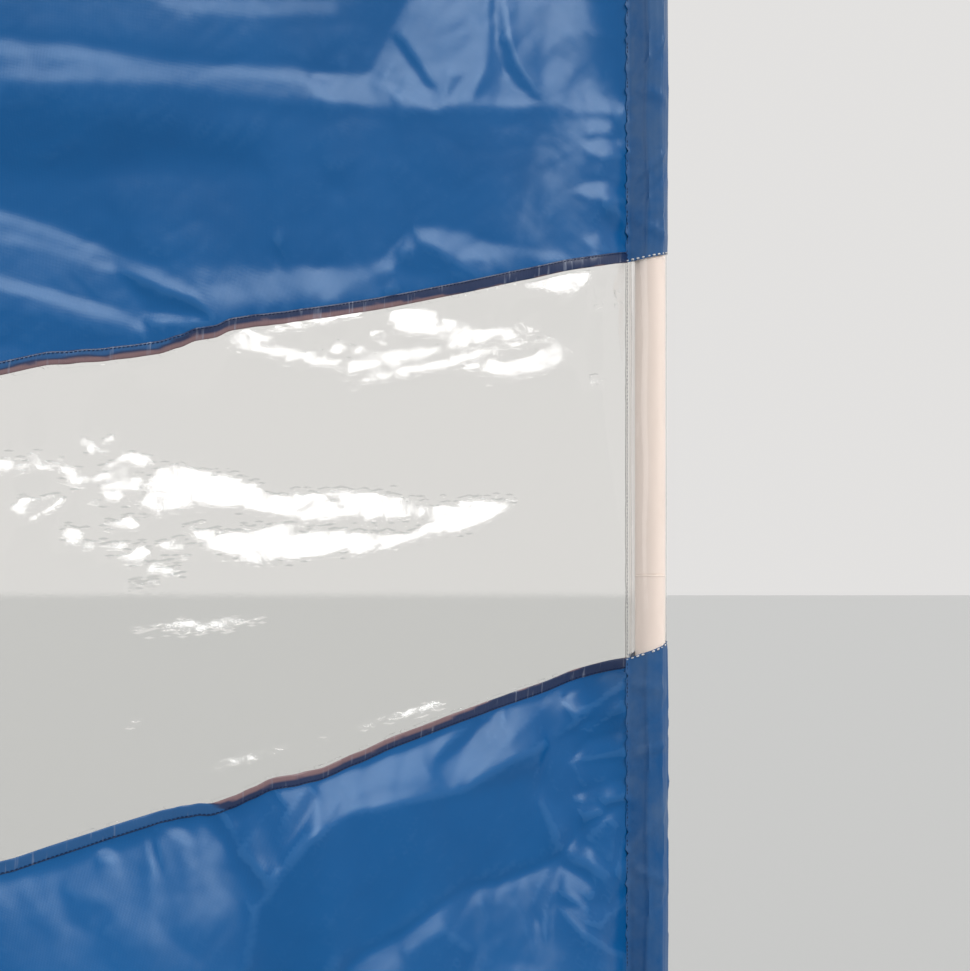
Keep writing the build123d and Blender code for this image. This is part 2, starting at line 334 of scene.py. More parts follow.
# Folds of the first bay: (up, side, soft edge, outline). First the film, where an upward lean is a
# bright streak, then the cloth above the window and the cloth below it. The outlines were picked by
# eye and turned into millimetres by a separate program. Most leans were fitted by other programs, to
# the shading in the photograph.
film_folds = [
    (0.37, 0, 2, [(377, 316), (372, 316), (354, 315), (340, 310), (324, 303), (304, 299), (297, 293), (282, 290),
     (258, 290), (241, 292), (219, 291), (208, 286), (203, 280), (223, 279), (241, 279), (262, 279), (282, 278),
     (290, 283), (296, 287), (316, 291), (318, 293), (332, 296), (350, 303), (360, 306), (372, 309)]),
    (0.46, 0, 1.5, [(277, 274), (265, 276), (241, 276), (219, 276), (208, 277), (203, 276), (206, 271), (211, 269),
     (236, 270), (258, 271), (273, 270)]),
    (0.47, 0, 1.5, [(204, 275), (196, 278), (192, 276), (196, 267), (205, 268)]),
    (0.42, 0, 1.5, [(192, 275), (178, 277), (165, 277), (162, 271), (152, 270), (141, 265), (142, 260), (150, 258),
     (159, 258), (178, 262), (192, 265)]),
    (-0.5, 0, 2, [(185, 277), (178, 274), (174, 269), (182, 269)]),
    (0.4, 0, 1.5, [(169, 256), (155, 259), (144, 261), (140, 265), (121, 266), (107, 270), (107, 276), (92, 271),
     (86, 265), (81, 266), (86, 259), (81, 254), (90, 251), (102, 252), (111, 250), (121, 249), (136, 251),
     (144, 249), (157, 252), (165, 255)]),
    (-0.18, 0, 2, [(137, 272), (121, 272), (109, 271), (111, 266), (125, 267)]),
    (0.39, 0, 2, [(251, 320), (241, 322), (223, 321), (212, 318), (207, 313), (200, 306), (194, 309), (189, 306),
     (182, 301), (169, 297), (156, 290), (145, 292), (136, 292), (126, 294), (120, 294), (122, 288), (116, 281),
     (131, 280), (145, 280), (159, 280), (178, 281), (192, 281), (200, 283), (199, 290), (205, 296), (214, 297),
     (223, 298), (236, 301), (242, 305), (243, 309), (251, 314)]),
    (-0.32, 0, 2, [(165, 286), (154, 287), (148, 282), (159, 281)]),
    (0.45, 0, 1, [(192, 279), (169, 279), (140, 278), (107, 276), (100, 275), (107, 272), (136, 273), (164, 275),
     (189, 276)]),
    (0.29, 0, 1.5, [(381, 323), (374, 322), (374, 312), (378, 313)]),
    (0.39, 0, 1.5, [(372, 324), (365, 324), (364, 314), (372, 314)]),
    (0.57, 0, 1.5, [(363, 324), (355, 323), (354, 316), (362, 316)]),
    (0.82, 0, 1, [(349, 321), (345, 321), (344, 313), (348, 314)]),
    (0.43, 0, 1.5, [(344, 324), (335, 326), (334, 316), (341, 316)]),
    (0.46, 0, 1.5, [(333, 325), (319, 326), (318, 318), (329, 319)]),
    (0.41, 0, 1.5, [(316, 325), (295, 325), (293, 320), (310, 319)]),
    (0.31, 0, 1.5, [(293, 325), (265, 325), (273, 319), (292, 319)]),
    (0.83, 0, 1.5, [(293, 306), (288, 306), (287, 298), (284, 294), (293, 295)]),
    (0.33, 0, 1.5, [(282, 297), (277, 301), (273, 294), (280, 294)]),
    (0.53, 0, 1.5, [(274, 298), (270, 302), (266, 294), (271, 294)]),
    (0.79, 0, 1.5, [(264, 308), (258, 309), (249, 301), (243, 293), (250, 295), (257, 301)]),
    (0.48, 0, 1.5, [(128, 320), (119, 321), (107, 321), (92, 322), (80, 321), (69, 322), (69, 313), (79, 309),
     (87, 302), (93, 297), (97, 301), (92, 308), (102, 307), (116, 311)]),
    (0.85, 0, 1.2, [(63, 293), (54, 295), (50, 294), (57, 290)]),
    (0.4, 0, 1.2, [(64, 305), (60, 306), (57, 303), (61, 301)]),
    (0.85, 0, 1.2, [(42, 296), (38, 303), (33, 301), (36, 295), (29, 292), (37, 289)]),
    (0.79, 0, 1.2, [(64, 237), (58, 238), (49, 230), (54, 228)]),
    (0.45, 0, 2, [(433, 240), (421, 242), (406, 238), (394, 233), (384, 229), (373, 224), (362, 219), (354, 213),
     (344, 207), (336, 203), (324, 203), (310, 198), (300, 198), (287, 196), (273, 191), (248, 187), (241, 180),
     (223, 174), (212, 169), (196, 166), (173, 165), (164, 164), (150, 160), (135, 156), (132, 152), (139, 147),
     (150, 146), (161, 143), (171, 139), (185, 139), (205, 142), (223, 144), (225, 151), (219, 155), (205, 156),
     (236, 161), (258, 166), (273, 168), (283, 175), (292, 174), (306, 176), (316, 177), (324, 180), (335, 186),
     (343, 190), (354, 192), (364, 198), (378, 203), (391, 206), (402, 210), (411, 210), (418, 208), (432, 211),
     (439, 217), (440, 224), (434, 228)]),
    (0.44, 0, 2, [(413, 195), (403, 196), (397, 192), (390, 189), (378, 184), (364, 184), (354, 185), (340, 183),
     (328, 178), (322, 171), (310, 172), (292, 167), (275, 163), (258, 158), (232, 153), (225, 149), (219, 143),
     (236, 143), (254, 143), (279, 145), (292, 148), (308, 151), (324, 152), (348, 157), (364, 157), (375, 164),
     (385, 168), (393, 175), (402, 181), (409, 188)]),
    (-0.5, 0, 1.5, [(293, 196), (288, 189), (283, 178), (287, 179), (292, 188), (295, 194)]),
    (-0.38, 0, 1.5, [(326, 191), (310, 190), (308, 187), (324, 188)]),
    (-0.5, 0, 1.5, [(409, 232), (404, 227), (403, 223), (408, 227)]),
    (0.44, 0, 1.5, [(562, 274), (542, 271), (536, 269), (529, 265), (513, 259), (511, 254), (529, 259),
     (562, 266)]),
    (0.68, 0, 1.2, [(520, 270), (516, 268), (510, 261), (507, 254), (512, 255), (518, 263)]),
    (0.47, 0, 1.5, [(498, 253), (491, 254), (485, 252), (484, 244), (484, 236), (490, 239), (495, 244),
     (493, 248)]),
    (0.4, 0, 1.2, [(507, 262), (501, 262), (493, 256), (488, 252), (497, 252), (502, 257)]),
    (0.85, 0, 1.5, [(486, 274), (480, 271), (471, 265), (468, 256), (473, 258), (480, 264)]),
    (0.85, 0, 1.2, [(468, 273), (460, 270), (461, 266), (467, 267)]),
    (0.5, 0, 1.5, [(476, 246), (473, 250), (469, 241), (464, 229), (467, 226), (472, 232), (475, 239)]),
    (0.85, 0, 1.2, [(481, 232), (472, 228), (468, 223), (475, 226)]),
    (0.73, 0, 1.5, [(532, 237), (528, 240), (521, 240), (512, 238), (506, 241), (501, 237), (498, 233), (504, 230),
     (510, 229), (516, 228), (520, 223), (523, 222), (529, 227), (531, 233)]),
    (0.49, 0, 1.5, [(500, 211), (498, 215), (491, 216), (484, 210), (488, 203), (492, 200), (496, 200)]),
    (0.7, 0, 1.2, [(484, 205), (480, 204), (476, 195), (481, 196)]),
    (0.74, 0, 1.2, [(470, 212), (463, 212), (457, 206), (467, 206)]),
    (0.7, 0, 1.5, [(458, 210), (453, 213), (447, 211), (445, 200), (454, 202)]),
    (0.8, 0, 1.5, [(473, 200), (464, 197), (455, 193), (450, 184), (447, 177), (454, 179), (458, 188), (467, 192)]),
    (0.59, 0, 1.5, [(449, 192), (441, 193), (438, 184), (440, 177), (447, 178)]),
    (0.79, 0, 1.5, [(434, 188), (424, 190), (415, 190), (411, 178), (411, 171), (417, 180), (428, 184)]),
    (0.75, 0, 1.5, [(440, 177), (432, 177), (421, 170), (412, 163), (418, 161), (429, 169)]),
    (0.84, 0, 1.2, [(440, 176), (436, 174), (434, 161), (438, 163)]),
    (0.85, 0, 1.2, [(455, 167), (451, 165), (447, 159), (452, 162)]),
    (0.85, 0, 1.2, [(448, 170), (444, 167), (442, 161), (447, 167)]),
    (0.61, 0, 1.2, [(468, 261), (463, 253), (460, 239), (455, 225), (460, 224), (465, 238), (467, 251)]),
    (0.37, 0, 1.2, [(457, 261), (452, 259), (450, 244), (447, 229), (446, 218), (451, 220), (455, 234),
     (457, 246)]),
    (0.59, 0, 1.2, [(455, 262), (446, 256), (437, 252), (428, 244), (434, 242), (445, 249), (453, 255)]),
    (0.7, 0, 1.2, [(447, 243), (441, 236), (437, 227), (442, 226), (446, 234)]),
    (0.46, 0, 1.2, [(442, 223), (437, 220), (431, 213), (426, 204), (433, 207), (441, 214)]),
    (0.65, 0, 1.2, [(437, 133), (432, 135), (402, 127), (372, 122), (351, 118), (372, 117), (402, 122),
     (428, 128)]),
    (0.85, 0, 1.2, [(452, 136), (442, 135), (440, 130), (449, 132)]),
    (0.85, 0, 1, [(391, 27), (378, 28), (364, 26), (348, 23), (364, 21), (385, 24)]),
    (0.85, 0, 1, [(343, 22), (332, 23), (333, 20), (341, 19)]),
    (0.85, 0, 1, [(305, 23), (298, 24), (298, 19), (303, 21)]),
    (0.85, 0, 1, [(272, 21), (257, 20), (256, 16), (268, 18)]),
    (0.85, 0, 1, [(255, 21), (248, 21), (249, 17), (254, 18)]),
    (0.85, 0, 1, [(245, 18), (219, 17), (188, 13), (193, 9), (219, 12), (239, 14)]),
    (0.85, 0, 1, [(450, 73), (443, 71), (443, 66), (448, 68)]),
]
upper_folds = [
    (0.3, 0, 14, [(562, 554), (542, 547), (516, 542), (488, 538), (460, 530), (432, 522), (402, 518), (372, 516),
     (324, 512), (287, 501), (287, 481), (324, 488), (364, 496), (387, 501), (417, 507), (446, 511), (474, 514),
     (502, 515), (542, 520), (562, 522)]),
    (-0.12, 0, 8, [(562, 543), (542, 539), (474, 529), (417, 517), (356, 507), (287, 493), (287, 483), (356, 497),
     (417, 509), (474, 517), (542, 526), (562, 529)]),
    (0.12, 0, 8, [(439, 570), (287, 560), (287, 548), (364, 551), (417, 558)]),
    (-0.25, 0, 26, [(562, 511), (502, 503), (453, 490), (402, 478), (348, 465), (348, 440), (417, 452), (502, 455),
     (562, 462)]),
    (0.04, 0, 12, [(562, 516), (488, 506), (460, 498), (502, 468), (562, 475)]),
    (-0.02, 0, 10, [(562, 568), (460, 559), (364, 541), (324, 524), (402, 523), (460, 535), (516, 547),
     (562, 555)]),
    (0.29, 0, 14, [(219, 565), (9, 555), (9, 442), (92, 459), (205, 469), (258, 500)]),
    (0.07, 0, 7, [(300, 500), (271, 501), (241, 503), (205, 502), (169, 501), (150, 504), (131, 479), (110, 467),
     (51, 479), (22, 474), (22, 443), (92, 461), (111, 464), (196, 474), (205, 467), (241, 468), (266, 475),
     (300, 483)]),
    (0.04, 0, 4, [(244, 472), (223, 472), (203, 470), (194, 476), (178, 479), (150, 475), (111, 467), (92, 465),
     (111, 463), (192, 472), (203, 466), (236, 467)]),
    (0.03, 0.1, 5, [(265, 523), (241, 518), (223, 511), (220, 503), (241, 505), (254, 508), (268, 513)]),
    (-0.12, 0, 3, [(240, 505), (236, 502), (247, 491), (251, 492)]),
    (-0.14, 0.1, 3, [(192, 495), (178, 492), (187, 479), (196, 477)]),
    (0.25, 0, 5, [(241, 489), (232, 488), (234, 479), (241, 481)]),
    (0, -0.15, 3, [(144, 508), (133, 506), (124, 494), (114, 484), (109, 468), (121, 475), (137, 491)]),
    (-0.18, 0.2, 5, [(153, 554), (145, 554), (143, 515), (136, 491), (145, 498), (153, 506)]),
    (-0.01, -0.3, 4, [(144, 554), (135, 553), (133, 522), (131, 506), (142, 510)]),
    (-0.17, 0.1, 4, [(150, 506), (143, 494), (131, 478), (111, 467), (173, 473), (167, 484), (157, 500)]),
    (0.06, 0.1, 5, [(77, 550), (28, 548), (46, 523), (77, 515), (92, 511), (104, 502), (110, 505), (97, 523)]),
    (0.09, 0, 4, [(107, 488), (86, 503), (74, 494), (76, 477), (104, 469)]),
    (0.08, 0, 4, [(59, 524), (46, 521), (31, 517), (34, 512), (51, 514)]),
    (0.06, 0.1, 4, [(74, 473), (53, 491), (36, 501), (31, 489), (45, 466), (38, 449), (61, 458)]),
    (0.06, -0.1, 3, [(61, 475), (47, 487), (38, 491), (42, 472), (51, 460), (59, 464)]),
    (0.27, 0, 6, [(63, 447), (38, 444), (36, 431), (63, 434)]),
    (0.3, 0, 5, [(68, 428), (51, 430), (28, 426), (28, 412), (51, 413), (64, 420)]),
    (0.09, 0, 6, [(61, 413), (26, 409), (26, 394), (61, 400)]),
    (0.25, 0, 5, [(77, 390), (66, 394), (46, 393), (26, 384), (26, 375), (46, 377), (66, 382)]),
    (-0.26, 0, 4, [(54, 374), (38, 368), (24, 358), (24, 348), (41, 354), (53, 362)]),
    (0.18, 0, 5, [(72, 348), (53, 353), (26, 349), (26, 337), (46, 336), (65, 340)]),
    (0.07, 0, 8, [(80, 446), (65, 447), (65, 411), (78, 414)]),
    (-0.17, 0, 12, [(300, 438), (278, 434), (282, 419), (297, 422)]),
    (0.15, 0, 4, [(225, 383), (201, 380), (176, 371), (150, 358), (111, 344), (86, 336), (96, 333), (123, 333),
     (142, 334), (150, 345), (161, 355), (178, 363), (198, 369), (220, 376)]),
    (0.19, 0, 4, [(221, 376), (198, 368), (178, 361), (159, 347), (152, 334), (169, 335), (185, 345), (205, 361),
     (221, 370)]),
    (0.13, -0.1, 3, [(176, 360), (159, 354), (147, 342), (144, 335), (153, 338), (165, 349)]),
    (0.1, 0, 4, [(225, 368), (210, 355), (185, 342), (176, 335), (205, 346), (234, 353)]),
    (0.2, 0.15, 4, [(225, 383), (235, 374), (253, 358), (260, 353), (241, 351), (237, 363), (230, 374)]),
    (0.17, 0, 3, [(235, 372), (225, 380), (224, 362), (239, 354)]),
    (0.14, 0, 10, [(306, 360), (254, 353), (205, 340), (214, 333), (258, 333), (306, 335)]),
    (-0.04, 0, 3, [(290, 341), (277, 341), (280, 334), (288, 335)]),
    (-0.45, 0, 3, [(251, 335), (237, 336), (239, 331), (248, 330)]),
    (0.2, 0, 9, [(562, 445), (542, 437), (516, 427), (488, 414), (466, 403), (446, 391), (428, 384), (415, 375),
     (403, 362), (402, 354), (417, 363), (432, 369), (442, 375), (455, 385), (474, 390), (502, 402), (542, 415),
     (562, 422)]),
    (-0.1, 0, 6, [(562, 438), (529, 425), (488, 406), (460, 392), (428, 377), (408, 362), (424, 369), (455, 386),
     (488, 399), (529, 417), (562, 428)]),
    (0.05, 0, 8, [(562, 419), (502, 400), (459, 387), (442, 367), (446, 361), (488, 372), (562, 402)]),
    (0.16, 0, 6, [(562, 402), (542, 393), (516, 379), (488, 368), (466, 362), (447, 359), (435, 352), (436, 335),
     (440, 340), (447, 348), (467, 356), (495, 366), (523, 376), (542, 383), (562, 390)]),
    (-0.1, 0, 4, [(491, 386), (483, 381), (474, 373), (469, 366), (476, 368), (486, 377)]),
    (-0.06, 0, 5, [(509, 387), (501, 383), (498, 378), (506, 380)]),
    (0.03, -0.15, 3, [(457, 385), (449, 381), (439, 373), (421, 366), (405, 359), (396, 350), (389, 339),
     (391, 335), (402, 343), (428, 351), (435, 356), (446, 370)]),
    (0.09, 0, 3, [(437, 348), (421, 349), (403, 343), (392, 335), (398, 335), (413, 338), (429, 344)]),
    (-0.05, -0.2, 3, [(437, 344), (429, 346), (424, 338), (432, 330), (437, 329)]),
    (0.06, 0.1, 3, [(424, 341), (409, 336), (400, 334), (412, 331), (426, 329)]),
    (-0.21, 0, 3, [(414, 334), (391, 335), (390, 329), (405, 326), (423, 327)]),
    (0.04, 0, 8, [(562, 386), (523, 372), (495, 362), (467, 352), (446, 343), (440, 330), (474, 331), (509, 332),
     (529, 342), (562, 344)]),
    (0.04, 0, 8, [(562, 377), (516, 363), (502, 352), (523, 348), (562, 357)]),
    (0.19, 0, 5, [(562, 347), (529, 342), (518, 334), (542, 332), (562, 336)]),
    (0.16, 0, 12, [(418, 382), (379, 374), (287, 362), (287, 334), (340, 336), (375, 334), (388, 337), (394, 350),
     (405, 365)]),
    (-0.02, 0, 3, [(334, 348), (327, 347), (315, 339), (306, 332), (315, 334)]),
    (-0.3, 0, 5, [(340, 386), (334, 386), (333, 374), (338, 375)]),
    (0.28, 0, 22, [(107, 455), (19, 462), (19, 324), (92, 324), (131, 352), (116, 402)]),
    (0.08, 0, 12, [(562, 586), (266, 568), (279, 511), (324, 520), (402, 531), (474, 544), (562, 561)]),
    (0.1, 0, 18, [(402, 485), (287, 475), (205, 464), (107, 452), (92, 399), (111, 357), (178, 363), (232, 382),
     (258, 358), (402, 374), (439, 406), (467, 451)]),
    (-0.02, 0, 8, [(304, 501), (258, 503), (236, 521), (219, 542), (178, 563), (178, 471), (287, 481), (304, 484)]),
    (0.08, 0, 7, [(562, 449), (542, 440), (517, 427), (477, 406), (436, 385), (402, 362), (391, 348), (405, 355),
     (439, 376), (455, 383), (481, 390), (516, 402), (542, 414), (562, 420)]),
    (0.12, 0, 8, [(562, 420), (516, 403), (481, 390), (455, 383), (439, 360), (436, 355), (474, 366), (516, 379),
     (562, 396)]),
    (0.14, 0, 5, [(562, 398), (542, 390), (490, 369), (455, 355), (437, 343), (439, 340), (460, 348), (495, 362),
     (542, 382), (562, 389)]),
    (-0.07, 0, 4, [(455, 383), (436, 375), (413, 363), (393, 345), (391, 337), (409, 345), (430, 354), (445, 366)]),
    (0.14, 0, 3, [(436, 355), (413, 347), (393, 338), (402, 335), (428, 335), (437, 342)]),
    (-0.02, 0, 10, [(562, 382), (502, 359), (460, 343), (446, 331), (502, 332), (542, 330), (562, 337)]),
    (0.06, 0, 8, [(391, 357), (356, 363), (300, 362), (249, 360), (230, 380), (178, 367), (111, 345), (51, 338),
     (22, 337), (22, 324), (131, 317), (241, 324), (324, 323), (375, 323), (391, 334)]),
    (0.21, 0, 6, [(310, 505), (287, 506), (254, 499), (219, 479), (201, 468), (241, 474), (275, 480), (310, 488)]),
    (-0.22, 0, 3, [(238, 530), (230, 528), (214, 504), (203, 485), (211, 484), (223, 504)]),
    (-0.22, 0, 3, [(142, 519), (133, 520), (127, 498), (111, 476), (103, 467), (111, 466), (131, 482), (140, 499)]),
    (-0.2, 0, 4, [(457, 383), (446, 380), (428, 369), (405, 355), (393, 342), (396, 338), (412, 351), (432, 361),
     (446, 369)]),
    (-0.16, 0, 3, [(437, 347), (423, 344), (405, 338), (400, 334), (424, 335), (434, 337)]),
    (0.16, 0, 4, [(474, 392), (453, 387), (428, 376), (402, 359), (388, 344), (389, 340), (405, 354), (428, 369),
     (457, 384), (474, 387)]),
    (0.13, 0, 6, [(556, 389), (502, 375), (467, 362), (439, 347), (439, 338), (467, 344), (502, 357), (556, 375)]),
    (0.2, 0, 3, [(440, 354), (421, 350), (394, 340), (392, 336), (406, 338), (424, 345), (439, 348)]),
    (0.1, 0, 12, [(391, 370), (324, 362), (258, 361), (236, 351), (283, 345), (332, 341), (381, 344), (391, 356)]),
    (0.13, 0, 5, [(223, 380), (205, 376), (150, 354), (150, 345), (183, 350), (205, 364), (220, 371)]),
    (-0.14, 0, 4, [(237, 364), (223, 365), (205, 355), (192, 346), (196, 342), (237, 352)]),
    (0.1, 0, 6, [(260, 359), (241, 371), (225, 380), (223, 365), (237, 363), (241, 351)]),
]
lower_folds = [
    (-0.08, 0.1, 5, [(539, -14), (529, -11), (519, -31), (512, -41), (512, -52), (523, -44), (531, -28)]),
    (-0.04, 0.1, 4, [(509, -16), (499, -13), (497, -36), (504, -45), (509, -32)]),
    (-0.03, 0, 5, [(497, -15), (476, -17), (461, -19), (461, -41), (470, -46), (488, -32)]),
    (0.35, 0.1, 3, [(472, -11), (461, -10), (461, -22), (473, -18)]),
    (-0.04, 0, 3, [(460, -14), (442, -30), (444, -37), (457, -35)]),
    (0.17, 0.3, 3, [(437, -14), (433, -12), (432, -33), (435, -34)]),
    (-0.3, -0.4, 3, [(432, -13), (429, -24), (429, -36), (432, -36)]),
    (-0.05, 0.1, 6, [(436, -36), (427, -40), (424, -82), (440, -80)]),
    (0.19, 0, 4, [(432, -8), (417, -9), (403, -21), (408, -26), (418, -18)]),
    (-0.03, 0.25, 4, [(423, -14), (412, -23), (399, -44), (381, -68), (372, -79), (375, -81), (388, -67),
     (403, -47), (417, -24)]),
    (-0.03, 0.1, 8, [(405, -27), (391, -17), (372, -18), (382, -35), (375, -68), (384, -61), (397, -44)]),
    (0.17, 0.2, 4, [(295, -14), (288, -25), (315, -45), (335, -62), (354, -77), (367, -84), (372, -74), (353, -61),
     (332, -44), (317, -29), (310, -19)]),
    (-0.14, 0.1, 6, [(310, -19), (287, -10), (283, -30), (312, -40)]),
    (-0.3, -0.35, 3, [(314, -10), (310, -17), (317, -29), (331, -43), (341, -58), (347, -59), (345, -43),
     (339, -30), (326, -17)]),
    (-0.1, 0.2, 4, [(315, -10), (326, -15), (338, -25), (343, -39), (350, -48), (372, -55), (385, -50), (368, -37),
     (352, -25), (336, -16)]),
    (-0.3, -0.2, 2.5, [(346, -2), (339, -11), (336, -20), (341, -17), (347, -7)]),
    (-0.3, 0, 5, [(378, -6), (354, -2), (347, -6), (345, -17), (360, -19), (372, -18)]),
    (0.01, 0, 16, [(283, -39), (320, -51), (344, -72), (367, -87), (372, -141), (283, -173)]),
    (-0.04, 0, 12, [(348, -115), (316, -114), (283, -111), (283, -173), (348, -149)]),
    (-0.08, 0, 14, [(556, -21), (502, -51), (439, -82), (383, -76), (378, -139), (556, -75)]),
    (-0.18, 0, 7, [(497, -31), (466, -49), (480, -63), (499, -50)]),
    (0.07, 0.05, 8, [(310, -10), (275, -4), (241, -3), (205, -9), (189, -17), (203, -27), (208, -38), (241, -30),
     (266, -29), (292, -31), (310, -35)]),
    (0.03, 0.1, 4, [(205, -11), (178, -15), (191, -23), (204, -31), (191, -56), (210, -42), (214, -27)]),
    (-0.09, 0, 4, [(265, -4), (258, -6), (263, -18), (270, -18)]),
    (-0.3, -0.25, 3.5, [(161, -7), (148, -12), (169, -24), (191, -31), (204, -29), (192, -20), (173, -14)]),
    (0.11, 0.25, 3, [(150, -17), (138, -11), (142, -26), (159, -37), (182, -49), (192, -57), (190, -47),
     (178, -35), (164, -26)]),
    (0.07, -0.2, 2.5, [(139, -9), (130, -10), (139, -27), (147, -29), (144, -17)]),
    (0.14, 0.2, 3, [(129, -12), (107, -12), (78, -16), (96, -21), (121, -29), (144, -39), (168, -51), (184, -58),
     (174, -48), (150, -35), (136, -27)]),
    (0.52, 0.1, 4, [(72, -20), (51, -17), (25, -12), (24, -20), (45, -31), (64, -34)]),
    (0.52, -0.15, 3.5, [(53, -43), (24, -30), (24, -39), (40, -46), (50, -50), (63, -45)]),
    (0.5, 0.1, 4, [(72, -70), (51, -61), (24, -59), (24, -75), (49, -74)]),
    (0.32, 0, 6, [(66, -73), (24, -82), (24, -95), (61, -93)]),
    (0.6, 0.05, 5, [(69, -98), (56, -96), (24, -96), (24, -112), (46, -108), (61, -107)]),
    (0.6, 0, 4, [(67, -107), (47, -109), (45, -117), (63, -116)]),
    (0.21, 0, 16, [(310, -44), (258, -39), (196, -60), (111, -71), (77, -114), (111, -136), (169, -131),
     (214, -134), (275, -145), (310, -146)]),
    (-0.04, 0, 12, [(310, -116), (283, -96), (241, -84), (205, -92), (214, -108), (249, -122), (292, -137),
     (310, -139)]),
    (0.55, 0, 7, [(295, -158), (275, -150), (241, -148), (205, -139), (187, -137), (171, -136), (150, -142),
     (111, -143), (91, -142), (72, -132), (59, -124), (38, -118), (17, -116), (17, -288), (295, -183)]),
    (-0.06, 0, 5, [(292, -158), (241, -148), (196, -139), (171, -136), (165, -142), (196, -148), (241, -157),
     (283, -167)]),
    (0.05, 0, 5, [(171, -136), (111, -144), (91, -142), (65, -134), (59, -143), (86, -152), (111, -153),
     (165, -145)]),
    (-0.09, -0.35, 2.5, [(170, -149), (163, -151), (168, -166), (175, -178), (184, -193), (189, -191), (181, -174),
     (174, -163)]),
    (-0.1, 0, 5, [(157, -151), (133, -162), (126, -188), (123, -210), (155, -199), (165, -170)]),
    (-0.2, -0.35, 2.5, [(95, -143), (88, -147), (98, -158), (107, -171), (113, -182), (119, -179), (120, -169),
     (111, -156)]),
    (-0.08, 0.3, 2.5, [(98, -162), (92, -166), (99, -176), (104, -192), (110, -199), (111, -185), (106, -172)]),
    (0.36, 0, 3, [(87, -147), (66, -163), (61, -175), (68, -178), (81, -167), (92, -163)]),
    (0.36, 0, 2.5, [(96, -162), (80, -168), (68, -181), (63, -181), (72, -184), (86, -171)]),
    (0.31, 0, 3, [(90, -177), (51, -188), (45, -197), (59, -202), (76, -194)]),
    (0.29, 0.1, 3, [(96, -175), (90, -178), (74, -198), (49, -218), (19, -238), (19, -245), (51, -225),
     (80, -200)]),
    (0.18, -0.1, 3, [(49, -194), (36, -188), (19, -187), (24, -196), (42, -199)]),
    (-0.3, 0.1, 4, [(63, -135), (43, -124), (31, -133), (34, -151), (41, -167), (53, -153)]),
    (-0.07, -0.2, 3, [(50, -154), (38, -154), (31, -180), (40, -171)]),
    (-0.25, 0, 8, [(241, -160), (205, -156), (178, -181), (196, -205), (241, -189)]),
    (0.51, 0, 14, [(562, -6), (502, -14), (439, -15), (391, -11), (372, -39), (364, -79), (375, -129), (562, -69)]),
    (0.46, 0, 10, [(92, -48), (19, -47), (19, -173), (51, -164), (87, -134), (104, -89)]),
    (0.49, 0, 8, [(379, -8), (300, -8), (223, -13), (150, -8), (61, -7), (22, -8), (22, -34), (92, -48),
     (131, -49), (178, -58), (223, -51), (283, -39), (324, -48), (354, -68), (372, -39)]),
    (-0.06, 0, 16, [(364, -83), (324, -44), (275, -43), (214, -54), (131, -51), (92, -69), (92, -117), (169, -123),
     (241, -125), (300, -156), (375, -136)]),
]


def leaf(d, h, length, fall, width, bend):
    """The outline of a long fold, pointed at both ends."""
    outline = []
    for share, side in ((-0.5, 0), (-0.25, 0.7), (0, 1), (0.25, 0.7), (0.5, 0), (0.25, -0.7), (0, -1), (-0.25, -0.7)):
        across = side * width / 2 + bend * (1 - 4 * share**2)
        outline.append((d + share * length - across * fall, h + share * length * fall + across))
    return outline


def random_folds(random, near, far, low, high, count):
    """Long shallow folds for a stretch of the sheet between two distances and two heights."""
    folds = []
    for _ in range(count):
        d, h = random.uniform(near, far), random.uniform(low, high)
        length = random.uniform(80, 320)
        up = random.choice([-0.14, 0.18, 0.28]) * random.uniform(0.7, 1.2)
        outline = leaf(d, h, length, random.uniform(-0.3, 0.3), random.uniform(10, 30), random.uniform(-14, 14))
        folds.append((up, random.uniform(-0.15, 0.15), random.uniform(4, 14), outline))
    return folds


def seam_folds(random, seam, direction, low, high):
    """Small puckers that fan out from a seam; direction is 1 to the left of it and -1 to the right."""
    folds = []
    height = low + random.uniform(10, 20)
    while height < high:
        length = random.uniform(40, 110)
        fall = random.uniform(-0.7, 0.7)
        up = random.choice([-0.25, 0.32]) * random.uniform(0.7, 1.2)
        outline = leaf(seam, height, length, fall, random.uniform(9, 16), 0)
        folds.append((up, direction * random.uniform(-0.2, 0.2), 4, outline))
        height += random.uniform(14, 34)
    return folds


